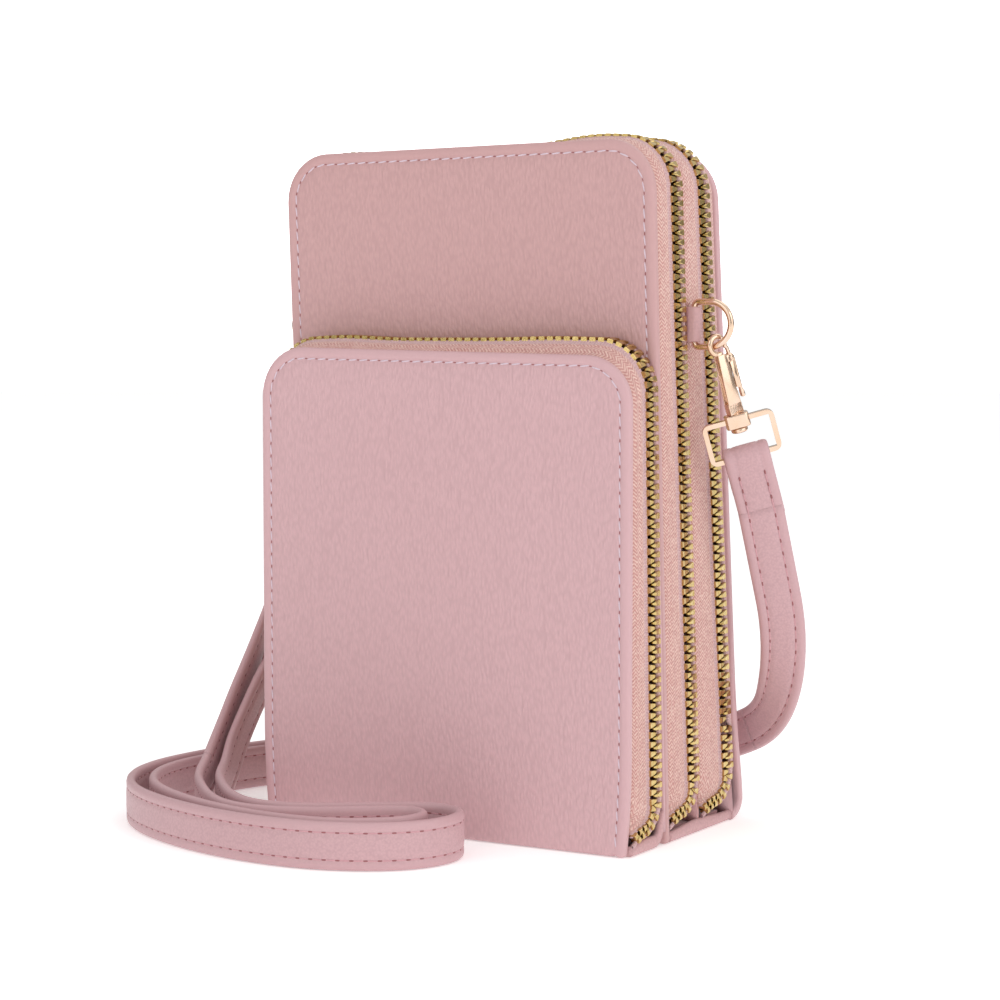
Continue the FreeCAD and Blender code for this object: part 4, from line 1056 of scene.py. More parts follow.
def seam_edge(line, prefix, crown=None):
    """The path of a tape's edge that is sewn along a seam and turns forward below it."""
    _, tail, end, height, own_crown = ZIPS[prefix]
    return lambda side: bent_path(line, tail - 2 * TAIL_STEP, BEND_ROUND + HALF_CHAIN, end, height,
                                  crown or own_crown, side)


def divider_edge(side):
    line = moved(SEAM, 0.05)
    like = bent_path(line, 7.0 + TAIL_STEP, BEND_ROUND, line, 180.0, main_crown, side)
    return [(x, depth_at(line, z), z) for x, y, z in like]


pocket_sewn = panel_edge(moved(POCKET_INNER, 0.05), "pocket", pocket_top)
pocket_rear_sewn = seam_edge(moved(POCKET_REAR, -0.05), "pocket")
main_sewn = panel_edge(moved(MAIN_INNER, 0.05), "main", main_top)
main_rear_sewn = seam_edge(moved(SEAM, -0.05), "main")
back_sewn = seam_edge(moved(BACK_INNER, -0.05), "rear", level)
for prefix, part, rear, sewn, height, body, limits in (
        ("pocket", "front", -1, pocket_sewn, 129.0, "pocket_front", {}),
        ("pocket", "rear", 1, pocket_rear_sewn, 129.0, "main_front", {"sink": 0.2}),
        ("main", "front", -1, main_sewn, 181.0, "main_front", {}),
        ("main", "rear", 1, main_rear_sewn, 181.0, "bag", {}),
        ("rear", "front", -1, divider_edge, 181.0, "bag", {}),
        ("rear", "rear", 1, back_sewn, 181.0, "main_back", {"low": 26.3}),
        ("rear", "tail", 1, back_sewn, 181.0, "bag", {"high": 26.2})):
    zip_tape(f"{prefix}_zip_{part}_tape", toothed_edge(prefix, rear), sewn, height, body, **limits)


# ---------------------------------------------------------------- Zip teeth
# Cast and brushed brass teeth clamped on the tapes' corded edges, one every 2.46 mm on each
# tape, with the two rows half a pitch apart so that their heads lie between each other.
TOOTH_PITCH = 2.46
TOOTH_STEPS = (18, 30, 46, 24, 8)


# Antique-lacquered brass: yellow-brown metal, its tone and gloss varying at random in worn patches, with a
# fine bump.
def lacquered_brass(name, colour, deep):
    material, tree, shader = blank_material(name)
    place = own_place(tree)
    worn = cloudy(tree, place, 700.0)
    plug(tree, shader, {
        "Base Color": mixed(tree, worn, deep, colour), "Roughness": ranged(tree, worn, 0.12, 0.26),
        "Normal": bumped(tree, cloudy(tree, place, 3000.0, 1.0), 0.00003, 0.5), "Metallic": 1.0,
    })
    return material


tooth_brass = lacquered_brass("brushed_brass_zip_teeth", "#ECD597", "#AF8C40")

# One tooth, its root round the tape's cord (+Y) and its head across the middle line (-Y).
# It is a block with five stations, each with its own half length and half height in mm.
TOOTH_STATIONS = {-0.86: (0.2, 0.85), -0.6: (0.3, 1.1), 0.5: (0.5, 1.3), 2.1: (0.83, 1.36),
                  3.0: (0.86, 1.2)}
bpy.ops.object.select_all(action="DESELECT")
bpy.ops.mesh.primitive_cube_add(size=MM, location=(0, 0, 0))
tooth = bpy.context.object
tooth.name = "tooth_master"
tooth.scale = (2, 3.86, 2)
tooth.location = (0, 1.07 * MM, 0)
bpy.ops.object.transform_apply(location=True, rotation=False, scale=True)
work = bmesh.new()
work.from_mesh(tooth.data)
for depth in (-0.6, 0.5, 2.1):
    everything = work.verts[:] + work.edges[:] + work.faces[:]
    bmesh.ops.bisect_plane(work, geom=everything, plane_co=(0, depth * MM, 0), plane_no=(0, 1, 0))
for vertex in work.verts:
    station = min(TOOTH_STATIONS, key=lambda depth: abs(depth - vertex.co.y / MM))
    half_length, half_height = TOOTH_STATIONS[station]
    vertex.co.x *= half_length
    vertex.co.z *= half_height
long_edges = [edge for edge in work.edges if abs(edge.verts[0].co.y - edge.verts[1].co.y) > 0.1 * MM]
bmesh.ops.bevel(work, geom=long_edges, offset=0.24 * MM, segments=1, affect="EDGES", profile=0.5)
bmesh.ops.recalc_face_normals(work, faces=work.faces)
work.to_mesh(tooth.data)
work.free()
tooth.data.materials.append(tooth_brass)


def tooth_row(prefix, part, rear, body, low=0.0, high=999.0):
    """A row of teeth, both sides of the bag; rear is 1 for the row behind the middle line, else -1."""
    chain, tail, end, height, crown = ZIPS[prefix]
    places = []
    for mirror in (1, -1):
        centre = bent_path(chain, tail, BEND_ROUND, end, height, crown, mirror, steps=TOOTH_STEPS)
        bend_top = centre[sum(TOOTH_STEPS[:3])][2]
        offset = TOOTH_PITCH * (0.25 if rear * mirror > 0 else 0.75)
        for spot, heading in walk(centre, TOOTH_PITCH, offset):
            if not low <= spot.z <= high:
                continue
            out = outward_at(spot.x, spot.z, height + crown((HALF_WIDTH - CORNER) * mirror))
            across = out.cross(heading).normalized() * rear
            # round the lower bend the chain rolls under, so its width is seen foreshortened
            roll = 0.0
            if spot.z < bend_top:
                roll = min(1.0, (bend_top - spot.z) / max(bend_top - tail, 0.1))
            narrow = 1.0 - 0.5 * roll
            for vector in (spot, heading, across, out):
                vector.x *= mirror
            places.append(basis(spot * MM, heading, across * narrow, out))
    piece = set_along(tooth, places, f"{prefix}_zip_{part}_brass")
    declare(piece, body, f"{prefix}_zip_{part}_teeth")


tooth_row("pocket", "front", -1, "pocket_front")
tooth_row("pocket", "rear", 1, "main_front")
tooth_row("main", "front", -1, "main_front")
tooth_row("main", "rear", 1, "bag")
tooth_row("rear", "front", -1, "bag")
tooth_row("rear", "rear", 1, "main_back", low=27.3)
tooth_row("rear", "tail", 1, "bag", high=27.2)
bpy.data.objects.remove(tooth)


# ---------------------------------------------------------------- Pocket back and bases
# The pocket's leather goes on under it and up behind as one ply sewn to the main front panel.
# The main base is the same leather over a board. Both have full, rounded side rims.
PLY_EDGE = [
    (1.2, -1.2), (0.35, -1.21), (0.08, -1.4), (0.0, -1.7), (0.08, -2.0), (0.35, -2.17), (1.0, -2.2),
    (4.0, -2.2),
]
pocket_back = leather_panel("pocket_back_leather_ply", panel_leather, PLY_EDGE, 2.4, 128.2,
                            *PANELS["main_front"][1:], -1, level, fold=False)
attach(pocket_back, "main_front")
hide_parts("pocket_back_leather")

base_leather = pu_leather("smooth_pu_leather_base", "#CDA3A5", "#C59A9B", "#D3ABAD", grain_mm=0.7,
                          depth=0.00008, roughness=0.55, stretch=1.0)


# The rim's section: (inset from the side, height over the floor side), under the edge and over it.
RIM_UNDER = [(3.4, 0.0), (1.5, 0.0), (0.8, 0.02), (0.35, 0.25), (0.1, 0.7)]
RIM_OVER = [(0.0, 1.35), (0.1, 1.95), (0.35, 2.4), (0.8, 2.62), (1.4, 2.6), (2.1, 2.3), (2.8, 1.8),
            (3.4, 1.5)]


def base_tray(name, front, back, lean_deg, heel, top, swell, body, stands_for):
    """A leather tray with full side rims, from the front fold back, and up behind where it has a heel."""
    stations = []
    flat = back - heel - front
    for i in range(23):
        stations.append((front + flat * i / 22, 0.0, 0.0, 1.0))
    if heel:
        for i in range(1, 11):
            a = math.pi / 2 * i / 10
            stations.append((back - heel + heel * math.sin(a), heel * (1 - math.cos(a)), a, 1.0))
        for i in range(1, 7):
            rise = (top - heel) * i / 6
            y = back - rise * math.tan(math.radians(lean_deg))
            stations.append((y, heel + rise, math.pi / 2, 1.0 - 0.6 * i / 6))
    field = [-46, -36, -24, -12, 0, 12, 24, 36, 46]
    under = [(HALF_WIDTH - a, b) for a, b in RIM_UNDER]
    over = [(HALF_WIDTH - a, b) for a, b in RIM_OVER]
    section = [(-x, d) for x, d in reversed(under)] + [(x, 0.0) for x in field] + under
    section += over + [(x, 1.4) for x in reversed(field)] + [(-x, d) for x, d in reversed(over)]
    points = []
    count = len(stations)
    for n, (y, z, angle, scale) in enumerate(stations):
        part = n / (count - 1)
        full = 1.0 + swell * math.sin(math.pi * min(1.0, part * 1.1)) ** 1.5
        for x, d in section:
            inset = HALF_WIDTH - abs(x)
            if d > 1.0 and inset > 2.0:
                fold = noise.noise(Vector((x * 0.22, (y + z) * 0.35, front)))
                d += 0.5 * fold * min(1.0, (inset - 2.0) / 1.5) * min(1.0, 4 * part * (1 - part))
            lift = (d * full if d > 1.0 and inset < 3.0 else d) * scale
            points.append(Vector((x, y - lift * math.sin(angle), z + lift * math.cos(angle))) * MM)
    tray = outward(new_piece(name, points, loft(len(section), count), base_leather,
                             attributes={"inset": [5.0] * len(points)}))
    declare(tray, body, stands_for)


base_tray("pocket_base_leather_ply", front=-30.5, back=-12.6, lean_deg=PANELS["main_front"][2], heel=5.0,
          top=9.0, swell=0.25, body="main_front", stands_for="pocket_base_leather")
base_tray("main_base_leather_cover", front=-9.4, back=27.55, lean_deg=0.0, heel=0.0, top=0.0, swell=0.3,
          body="bag", stands_for="main_base_leather")


# ---------------------------------------------------------------- Boards and linings
# Grey fibre boards stiffen the panels, the base and the divider. A thin plain-woven lining is
# glued over each panel's board and over both faces of the divider.
# Grey board: pressed paper fibre, matt and slightly flecked.
board_paper, tree, shader = blank_material("grey_fibre_board")
flecks = cloudy(tree, own_place(tree), 900.0, 4.0)
plug(tree, shader, {"Base Color": mixed(tree, flecks, "#8C867C", "#B5AEA2"), "Roughness": 0.9,
                    "Normal": bumped(tree, flecks, 0.0001, 0.5)})


def finish_node(node, material):
    """Gives a carried-over piece its material."""
    piece = bpy.data.objects[node]
    if piece.material_slots:
        for holder in piece.material_slots:
            holder.material = material
    else:
        piece.data.materials.append(material)


for node in ("pocket_front_board", "main_front_board", "main_back_board"):
    finish_node(node, board_paper)

# Plain-woven polyester lining: fine crossing yarns with a faint satin lift.
lining_cloth, tree, shader = blank_material("plain_woven_polyester_lining")
place = own_place(tree)
# the yarns are 0.8 mm apart, coarser than real lining, so that they show
warp_yarns, weft_yarns = (
    add_node(tree, "ShaderNodeTexWave", {"Vector": place, "Scale": 195.0}, bands_direction=way)
    for way in ("X", "Z"))
woven = maths(tree, "MULTIPLY", warp_yarns.outputs["Fac"], weft_yarns.outputs["Fac"])
shade = maths(tree, "MULTIPLY_ADD", woven, 0.4, cloudy(tree, place, 60.0))
plug(tree, shader, {"Base Color": mixed(tree, shade, "#B98688", "#D9A8AA"), "Roughness": 0.62,
                    "Normal": bumped(tree, woven, 0.0001, 0.6), "Sheen Weight": 0.4})

# the base's board and the divider's board are wrapped in the lining
for node in ("divider_board", "main_base_board"):
    finish_node(node, lining_cloth)


EDGE_FOLD = 2.55
QUILTING = 0.12


def lining_sheet(stands_for, half, head, foot, corner, fold_depth, fold_height, lean_deg, near, far, body):
    """A lining between two depths, its face slightly quilted by the glue and drawn in at its edge."""
    across, rows = 40, 60
    points, faces = [], []
    middle = (near + far) / 2
    for face, depth in ((0, near), (1, far)):
        for i in range(rows + 1):
            z = foot + (head - foot) * i / rows
            over = max(0.0, z - (head - corner))
            reach = half - corner + math.sqrt(max(corner ** 2 - over ** 2, 0.0)) if over else half
            for k in range(across + 1):
                x = reach * (2 * k / across - 1)
                edge = min((half - abs(x)) / 3, (z - foot) / 3, (head - z) / 3, 1.0)
                swell = QUILTING * edge * (0.5 + noise.noise(Vector((x * 0.06, z * 0.06, near))))
                y = depth + (-1 if depth < middle else 1) * (swell if face == 0 else 0.0)
                points.append(leaning((x, y, z + fold_height - FOLD_HEIGHT), fold_depth, lean_deg))
    size, stride = (rows + 1) * (across + 1), across + 1
    sides = [[range(size * face + i * stride, size * face + (i + 1) * stride) for i in range(rows + 1)]
             for face in (0, 1)]
    for side in sides:
        for a, b in zip(side, side[1:]):
            faces += strip(a, b)
    for i in (0, rows):
        faces += strip(sides[0][i], sides[1][i])
    for k in (0, across):
        faces += strip([row[k] for row in sides[0]], [row[k] for row in sides[1]])
    sheet = outward(new_piece(f"{stands_for}_cloth", points, faces, lining_cloth))
    declare(sheet, body, stands_for)


for panel, (head, fold_depth, lean_deg) in PANELS.items():
    inner = -1 if panel == "main_back" else 1
    lining_sheet(f"{panel}_lining", HALF_WIDTH - EDGE_FOLD, head - EDGE_FOLD, 1.65, CORNER - EDGE_FOLD,
                 fold_depth, FOLD_HEIGHT, lean_deg, 1.2 * inner, 0.8 * inner, panel)
for part, outer in (("front", -1), ("back", 1)):
    lining_sheet(f"divider_{part}_lining", half=54.8, head=177.0, foot=2.7, corner=CORNER - 1.2,
                 fold_depth=SEAM[0], fold_height=0.0, lean_deg=DIVIDER_LEAN, near=0.9 * outer,
                 far=0.5 * outer, body="bag")


# ---------------------------------------------------------------- D-rings and their tabs
# Each ring is gold-plated zinc wire, 1.7 mm thick, its straight bar held in a folded leather tab
# that comes out of the side seam.
RING_PLACE = (57.6, -0.322, 133.6)


# Light gold plating on die-cast zinc: a clear mirror with a warm tint and faint polishing marks.
def gold_plating(name, colour, deep):
    material, tree, shader = blank_material(name)
    place = own_place(tree)
    rub = cloudy(tree, place, 1200.0, 3.0)
    plug(tree, shader, {
        "Base Color": mixed(tree, cloudy(tree, place, 160.0), deep, colour), "Metallic": 1.0,
        "Roughness": ranged(tree, rub, 0.1, 0.22), "Normal": bumped(tree, rub, 0.00002, 0.3),
    })
    return material


gold = gold_plating("light_gold_plated_zinc", "#EFD8CA", "#E0BC98")


def pick(*pieces):
    """Selects these pieces alone; the first is the active one."""
    bpy.ops.object.select_all(action="DESELECT")
    for piece in pieces:
        piece.select_set(True)
    bpy.context.view_layer.objects.active = pieces[0]


def wire_loop(name, points, wire, material, closed):
    """Drawn wire bent along points in mm, swept as a bevelled curve and turned into a mesh."""
    curve = bpy.data.curves.new(name, "CURVE")
    curve.dimensions = "3D"
    curve.bevel_depth = wire / 2 * MM
    curve.bevel_resolution = 5
    curve.use_fill_caps = not closed
    spline = curve.splines.new("POLY")
    spline.points.add(len(points) - 1)
    for control, point in zip(spline.points, points):
        control.co = [c * MM for c in point] + [1.0]
    spline.use_cyclic_u = closed
    holder = bpy.data.objects.new(name, curve)
    bpy.context.scene.collection.objects.link(holder)
    pick(holder)
    bpy.ops.object.convert(target="MESH")
    piece = bpy.context.object
    piece.data.polygons.foreach_set("use_smooth", [True] * len(piece.data.polygons))
    piece.data.materials.clear()
    piece.data.materials.append(material)
    return piece


def arc_points(centre, radius, start_deg, end_deg, steps, plane):
    """Points on an arc in a plane named by its two axes, such as "xz"."""
    found = []
    for i in range(steps + 1):
        a = math.radians(start_deg + (end_deg - start_deg) * i / steps)
        point = {"x": 0.0, "y": 0.0, "z": 0.0}
        point[plane[0]] = centre[0] + radius * math.cos(a)
        point[plane[1]] = centre[1] + radius * math.sin(a)
        found.append((point["x"], point["y"], point["z"]))
    return found


def settle(piece, place):
    """Applies a piece's place to its mesh, leaving the object at the origin."""
    piece.data.transform(place)
    piece.data.update()
    return piece


def both_sides(right, stands_for, body):
    """Declares a right-hand piece, then its left-hand twin, a mirrored copy with its own mesh."""
    for side in ("right", "left"):
        piece = right
        if side == "left":
            piece = right.copy()
            piece.data = right.data.copy()
            piece.name = piece.data.name = right.name.replace("right_", "left_")
            bpy.context.scene.collection.objects.link(piece)
            piece.data.transform(Matrix.Scale(-1, 4, (1, 0, 0)))
            piece.data.flip_normals()
        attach(piece, body if body == "bag" else f"{side}_{body}")
        if stands_for:
            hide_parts(f"{side}_{stands_for}")


ring_path = [(0, 0, -4.4), (0, 0, 4.4)]
ring_path += arc_points((1.3, 4.5), 1.3, 180, 90, 6, "xz")
ring_path += arc_points((4.5, 0.0), 5.8, 90, -90, 36, "xz")
ring_path += arc_points((1.3, -4.5), 1.3, -90, -180, 6, "xz")
right_ring = wire_loop("right_d_ring_wire", ring_path, 1.7, gold, True)
ring_place = Matrix.Translation(Vector(RING_PLACE) * MM)
both_sides(settle(right_ring, ring_place), "d_ring", "ring")


def leather_strip(name, path, across, width, thick, material, section=None):
    """A strip of leather with rounded edges along a path in mm; thick gives its depth at each point."""
    points, insets = [], []
    half = width / 2
    count = len(path)
    if section is None:
        section = [(-half, 0.0), (-half + 0.12, 0.3), (-half + 0.4, 0.45), (-half + 0.8, 0.5)]
        section += [(half * t, 0.5) for t in (-0.5, 0.0, 0.5)]
        section += [(-x, y) for x, y in reversed(section[:4])]
        section += [(x, -y) for x, y in reversed(section[1:-1])]
    for i, spot in enumerate(path):
        before, after = Vector(path[max(i - 1, 0)]), Vector(path[min(i + 1, count - 1)])
        heading = (after - before).normalized()
        out = heading.cross(across).normalized()
        for x, y in section:
            points.append((Vector(spot) + across * x + out * (y * thick[i])) * MM)
            insets.append(half - abs(x) + 0.5)
    return outward(new_piece(name, points, loft(len(section), count), material,
                             attributes={"inset": insets}))


tab_path = [(-1.75, -1.32, 0), (-0.8, -1.33, 0)]
tab_path += arc_points((0.0, 0.0), 1.33, -90, 90, 12, "xy")
tab_path += [(-0.8, 1.33, 0), (-1.75, 1.32, 0)]
right_tab = leather_strip("right_ring_tab_fold", tab_path, Vector((0, 0, 1)), 9.0,
                          [0.8] * len(tab_path), base_leather)
both_sides(settle(right_tab, ring_place), "ring_tab", "bag")


# ---------------------------------------------------------------- Snap hooks
# A die-cast claw and a body of two cheeks with the gate's lever between them, on a rivet that
# turns in the swivel loop's boss. Gold plated.
EYE = Vector(RING_PLACE) + Vector((6.6, 0, -5.8))
HOOK_TURN = Matrix.Rotation(math.radians(-30), 3, "Z") @ Matrix.Rotation(math.radians(18.2), 3, "X")
HOOK_PLACE = Matrix.Translation(EYE * MM) @ HOOK_TURN.to_4x4()
LOOP_PLACE = HOOK_PLACE @ Matrix.Rotation(math.radians(-30), 4, "Z")


def rounded(piece, width_mm, segments, bend_deg=30, smooth_deg=45):
    """Rounds the piece's edges that bend enough, and smooths its faces."""
    bevel = piece.modifiers.new("rounded", "BEVEL")
    bevel.width = width_mm * MM
    bevel.segments = segments
    bevel.limit_method = "ANGLE"
    bevel.angle_limit = math.radians(bend_deg)
    bpy.ops.object.modifier_apply(modifier="rounded")
    bpy.ops.object.shade_smooth_by_angle(angle=math.radians(smooth_deg))
    return piece


def cast_block(name, low, high, round_mm, segments=3, foot=None):
    """A cast block between two corners in mm; foot narrows or widens its lower end along Y."""
    bpy.ops.object.select_all(action="DESELECT")
    bpy.ops.mesh.primitive_cube_add(size=1)
    block = bpy.context.object
    block.name = name
    block.scale = [(b - a) * MM for a, b in zip(low, high)]
    block.location = [(a + b) / 2 * MM for a, b in zip(low, high)]
    bpy.ops.object.transform_apply(location=True, rotation=False, scale=True)
    if foot is not None:
        _, y, z = [(a + b) / 2 * MM for a, b in zip(low, high)]
        for vertex in block.data.vertices:
            if vertex.co.z < z:
                vertex.co.y = y + (vertex.co.y - y) * foot
    return rounded(block, round_mm, segments)


def turned_pin(name, radius, low, high, along, centre, round_mm):
    """A turned pin or rivet head with a rounded rim."""
    length = high - low
    middle = (low + high) / 2
    spot = {"x": (middle, centre[0], centre[1]), "z": (centre[0], centre[1], middle)}[along]
    turn = {"x": (0, math.pi / 2, 0), "z": (0, 0, 0)}[along]
    bpy.ops.object.select_all(action="DESELECT")
    bpy.ops.mesh.primitive_cylinder_add(
        vertices=32, radius=radius * MM, depth=length * MM, location=[c * MM for c in spot], rotation=turn
    )
    pin = bpy.context.object
    pin.name = name
    bpy.ops.object.transform_apply(location=True, rotation=True, scale=True)
    return rounded(pin, round_mm, 3)


def joined(name, parts, material):
    """Parts of one casting as one mesh."""
    for part in parts:
        part.data.materials.clear()
    pick(*parts)
    bpy.ops.object.join()
    piece = bpy.context.object
    piece.name = piece.data.name = name
    piece.data.materials.append(material)
    return piece


CLAW_ROUND, CLAW_RISE = 2.35, 0.35
claw_line = arc_points((0.0, CLAW_RISE), CLAW_ROUND, 42, 262, 40, "yz")
claw = wire_loop("hook_claw", claw_line, 1.5, gold, False)
for vertex in claw.data.vertices:
    # the claw's tip is drawn to a blunt point
    angle = math.degrees(math.atan2(vertex.co.z - CLAW_RISE * MM, vertex.co.y)) % 360
    if angle < 56:
        centre = Vector((0, CLAW_ROUND * math.cos(math.radians(angle)),
                         CLAW_RISE + CLAW_ROUND * math.sin(math.radians(angle)))) * MM
        shrink = 0.75 + 0.25 * min(1.0, max(0.0, (angle - 42) / 14))
        vertex.co = centre + (vertex.co - centre) * shrink
cheeks = []
for side in (1, -1):
    near, far = sorted((side * 0.73, side * 1.1))
    cheek = cast_block(f"hook_cheek_{side}", (near, -1.3, -18.05), (far, 1.3, -2.15), 0.12, 2, foot=1.615)
    cheeks.append(cheek)
    cheeks.append(turned_pin(f"hook_ear_{side}", 1.05, near, far, "x", (2.45, -3.6), 0.1))
    cheeks.append(cast_block(f"hook_ear_web_{side}", (near, 0.3, -4.5), (far, 2.5, -2.7), 0.1, 1))
spine = cast_block("hook_spine", (-0.75, -1.22, -17.9), (0.75, 0.3, -2.3), 0.1, 1, foot=1.3)
foot_block = cast_block("hook_foot", (-1.1, -2.1, -18.05), (1.1, 2.1, -15.1), 0.3, 3)
throat = cast_block("hook_throat", (-0.95, -1.3, -4.2), (0.95, 0.6, -1.35), 0.45, 4)
axle = turned_pin("hook_axle", 0.5, -1.22, 1.22, "x", (2.6, -3.6), 0.15)
shank = turned_pin("hook_shank", 1.1, -22.0, -17.9, "z", (0, 0), 0.1)
rivet = turned_pin("hook_rivet", 2.2, -23.01, -21.81, "z", (0, 0), 0.45)
castings = [claw, spine, foot_block, throat, axle, shank, rivet] + cheeks
right_hook = joined("right_hook_casting", castings, gold)
both_sides(settle(right_hook, HOOK_PLACE), "hook", "hook")

gate_line = [(0, 2.72, -2.9), (0, 2.72, -2.2), (0, 2.66, -1.5), (0, 2.55, -0.9)]
gate_line += arc_points((0.0, CLAW_RISE), CLAW_ROUND, -20, 35, 10, "yz")
nose = wire_loop("gate_nose", gate_line, 1.1, gold, False)
collar = turned_pin("gate_collar", 1.15, -0.62, 0.62, "x", (2.6, -3.6), 0.12)
lever = cast_block("gate_lever", (-0.6, 3.12, -14.4), (0.6, 3.98, -3.7), 0.28, 3)
thumb = cast_block("gate_thumb", (-0.64, 3.2, -14.6), (0.64, 4.25, -12.6), 0.35, 3)
flanges = [cast_block(f"gate_flange_{side}", (min(side * 0.62, side * 0.71), 1.9, -11.8),
                      (max(side * 0.62, side * 0.71), 3.5, -4.2), 0.03, 1, foot=0.55) for side in (1, -1)]
right_gate = joined("right_gate_lever", [nose, collar, lever, thumb] + flanges, gold)
both_sides(settle(right_gate, HOOK_PLACE), "gate", "gate")

# Spring steel leaf: bright, drawn along its length.
spring_steel, tree, shader = blank_material("bright_spring_steel")
drawn = cloudy(tree, own_place(tree), 1500.0)
plug(tree, shader, {"Base Color": hex_colour("#B9B9BC"), "Metallic": 1.0,
                    "Roughness": ranged(tree, drawn, 0.2, 0.4)})
for node in ("right_gate_spring", "left_gate_spring"):
    finish_node(node, spring_steel)


# ---------------------------------------------------------------- Swivel loops
# A rectangular frame of 1.8 mm square wire with rounded corners and a boss for the hook's rivet.
def thicken(work, by):
    """Extrudes a flat sheet's faces along a vector in mm and turns them outwards."""
    fresh = bmesh.ops.extrude_face_region(work, geom=work.faces[:])["geom"]
    bmesh.ops.translate(work, verts=[part for part in fresh if isinstance(part, bmesh.types.BMVert)],
                        vec=[c * MM for c in by])
    bmesh.ops.recalc_face_normals(work, faces=work.faces)


def square_frame(name, width, low, high, wire, outer_round, inner_round):
    """A flat plate, inset and opened, extruded to the wire's depth, with its corners rounded."""
    bpy.ops.object.select_all(action="DESELECT")
    bpy.ops.mesh.primitive_plane_add(size=1, rotation=(0, math.pi / 2, 0))
    plate = bpy.context.object
    plate.name = name
    bpy.ops.object.transform_apply(location=False, rotation=True, scale=False)
    plate.scale = (1, width * MM, (high - low) * MM)
    plate.location = (-wire / 2 * MM, 0, (low + high) / 2 * MM)
    bpy.ops.object.transform_apply(location=True, rotation=False, scale=True)
    work = bmesh.new()
    work.from_mesh(plate.data)
    bmesh.ops.inset_individual(work, faces=work.faces[:], thickness=wire * MM, depth=0)
    inner = min(work.faces, key=lambda face: face.calc_center_median().length
                if abs(face.calc_center_median().y) < 1e-5 and
                abs(face.calc_center_median().z - (low + high) / 2 * MM) < 1e-5 else 9)
    bmesh.ops.delete(work, geom=[inner], context="FACES_ONLY")
    thicken(work, (wire, 0, 0))
    for reach, round_mm, segments in ((width / 2, outer_round, 5), (width / 2 - wire, inner_round, 3)):
        corners = [edge for edge in work.edges
                   if abs(edge.verts[0].co.y - edge.verts[1].co.y) < 1e-7
                   and abs(edge.verts[0].co.z - edge.verts[1].co.z) < 1e-7
                   and abs(abs(edge.verts[0].co.y) - reach * MM) < 1e-5]
        bmesh.ops.bevel(work, geom=corners, offset=round_mm * MM, segments=segments, affect="EDGES",
                        profile=0.5)
    work.to_mesh(plate.data)
    work.free()
    pick(plate)
    return rounded(plate, 0.28, 3, 60, 40)


loop_frame = square_frame("loop_frame", width=19.0, low=-30.23, high=-19.03, wire=1.8, outer_round=1.9,
                          inner_round=0.7)
# the boss: a rounded block with the rivet's hole
BOSS_TOP, BOSS_DEPTH, BOSS_HOLE, BOSS_SQUARE = -18.13, 3.6, 1.2, 5.0
work = bmesh.new()
sides = 48
hole, block_rim = [], []
for i in range(sides):
    c, s = math.cos(2 * math.pi * i / sides), math.sin(2 * math.pi * i / sides)
    reach = (abs(c / 2.0) ** BOSS_SQUARE + abs(s / 3.2) ** BOSS_SQUARE) ** (-1 / BOSS_SQUARE)
    for ring, radius in ((hole, BOSS_HOLE), (block_rim, reach)):
        ring.append(work.verts.new((c * radius * MM, s * radius * MM, BOSS_TOP * MM)))
for i in range(sides):
    j = (i + 1) % sides
    work.faces.new((hole[i], hole[j], block_rim[j], block_rim[i]))
thicken(work, (0, 0, -BOSS_DEPTH))
boss_mesh = bpy.data.meshes.new("loop_boss")
work.to_mesh(boss_mesh)
work.free()
boss = bpy.data.objects.new("loop_boss", boss_mesh)
bpy.context.scene.collection.objects.link(boss)
pick(boss)
rounded(boss, 0.3, 3, 50, 40)
right_loop = joined("right_swivel_loop_casting", [loop_frame, boss], gold)
both_sides(settle(right_loop, LOOP_PLACE), "swivel_loop", "loop")


# ---------------------------------------------------------------- Strap ends
# The strap's skived end goes up in front, round the loop's lower bar and down behind, where it
# is sewn to the strap.
BAR = -29.33
end_path = [(-0.1, 0, -46.4), (0.0, 0, -43.98), (0.12, 0, -42.8), (0.3, 0, -41.4), (0.55, 0, -39.5)]
end_path += [(0.72, 0, -37.6), (0.78, 0, -35.6)]
end_path += [(0.95, 0, -33.6), (1.3, 0, -32.2), (1.72, 0, -30.9)]
end_path += arc_points((0.0, BAR), 2.1, -22, 202, 18, "xz")
end_path += [(-1.72, 0, -30.9), (-1.3, 0, -32.2), (-0.95, 0, -33.6), (-0.78, 0, -35.6), (-0.76, 0, -39.0)]
end_thick = [2.3, 2.4, 2.34, 2.2, 1.9, 1.62] + [1.5] * (len(end_path) - 7) + [1.3]
sewn_section = [(x, y / STRAP_THICK) for x, y in STRAP_SECTION]
right_end = leather_strip("right_strap_end_fold", end_path, Vector((0, -1, 0)), STRAP_WIDTH, end_thick,
                          strap_leather, sewn_section)
both_sides(settle(right_end, LOOP_PLACE), "strap_end", "loop")

end_run = [Vector(p) for p in end_path[1:10]]
end_reach = reach_along(end_run)
thread_again = stitch_master("end_thread_master", 2.7, 0.42, strap_thread)
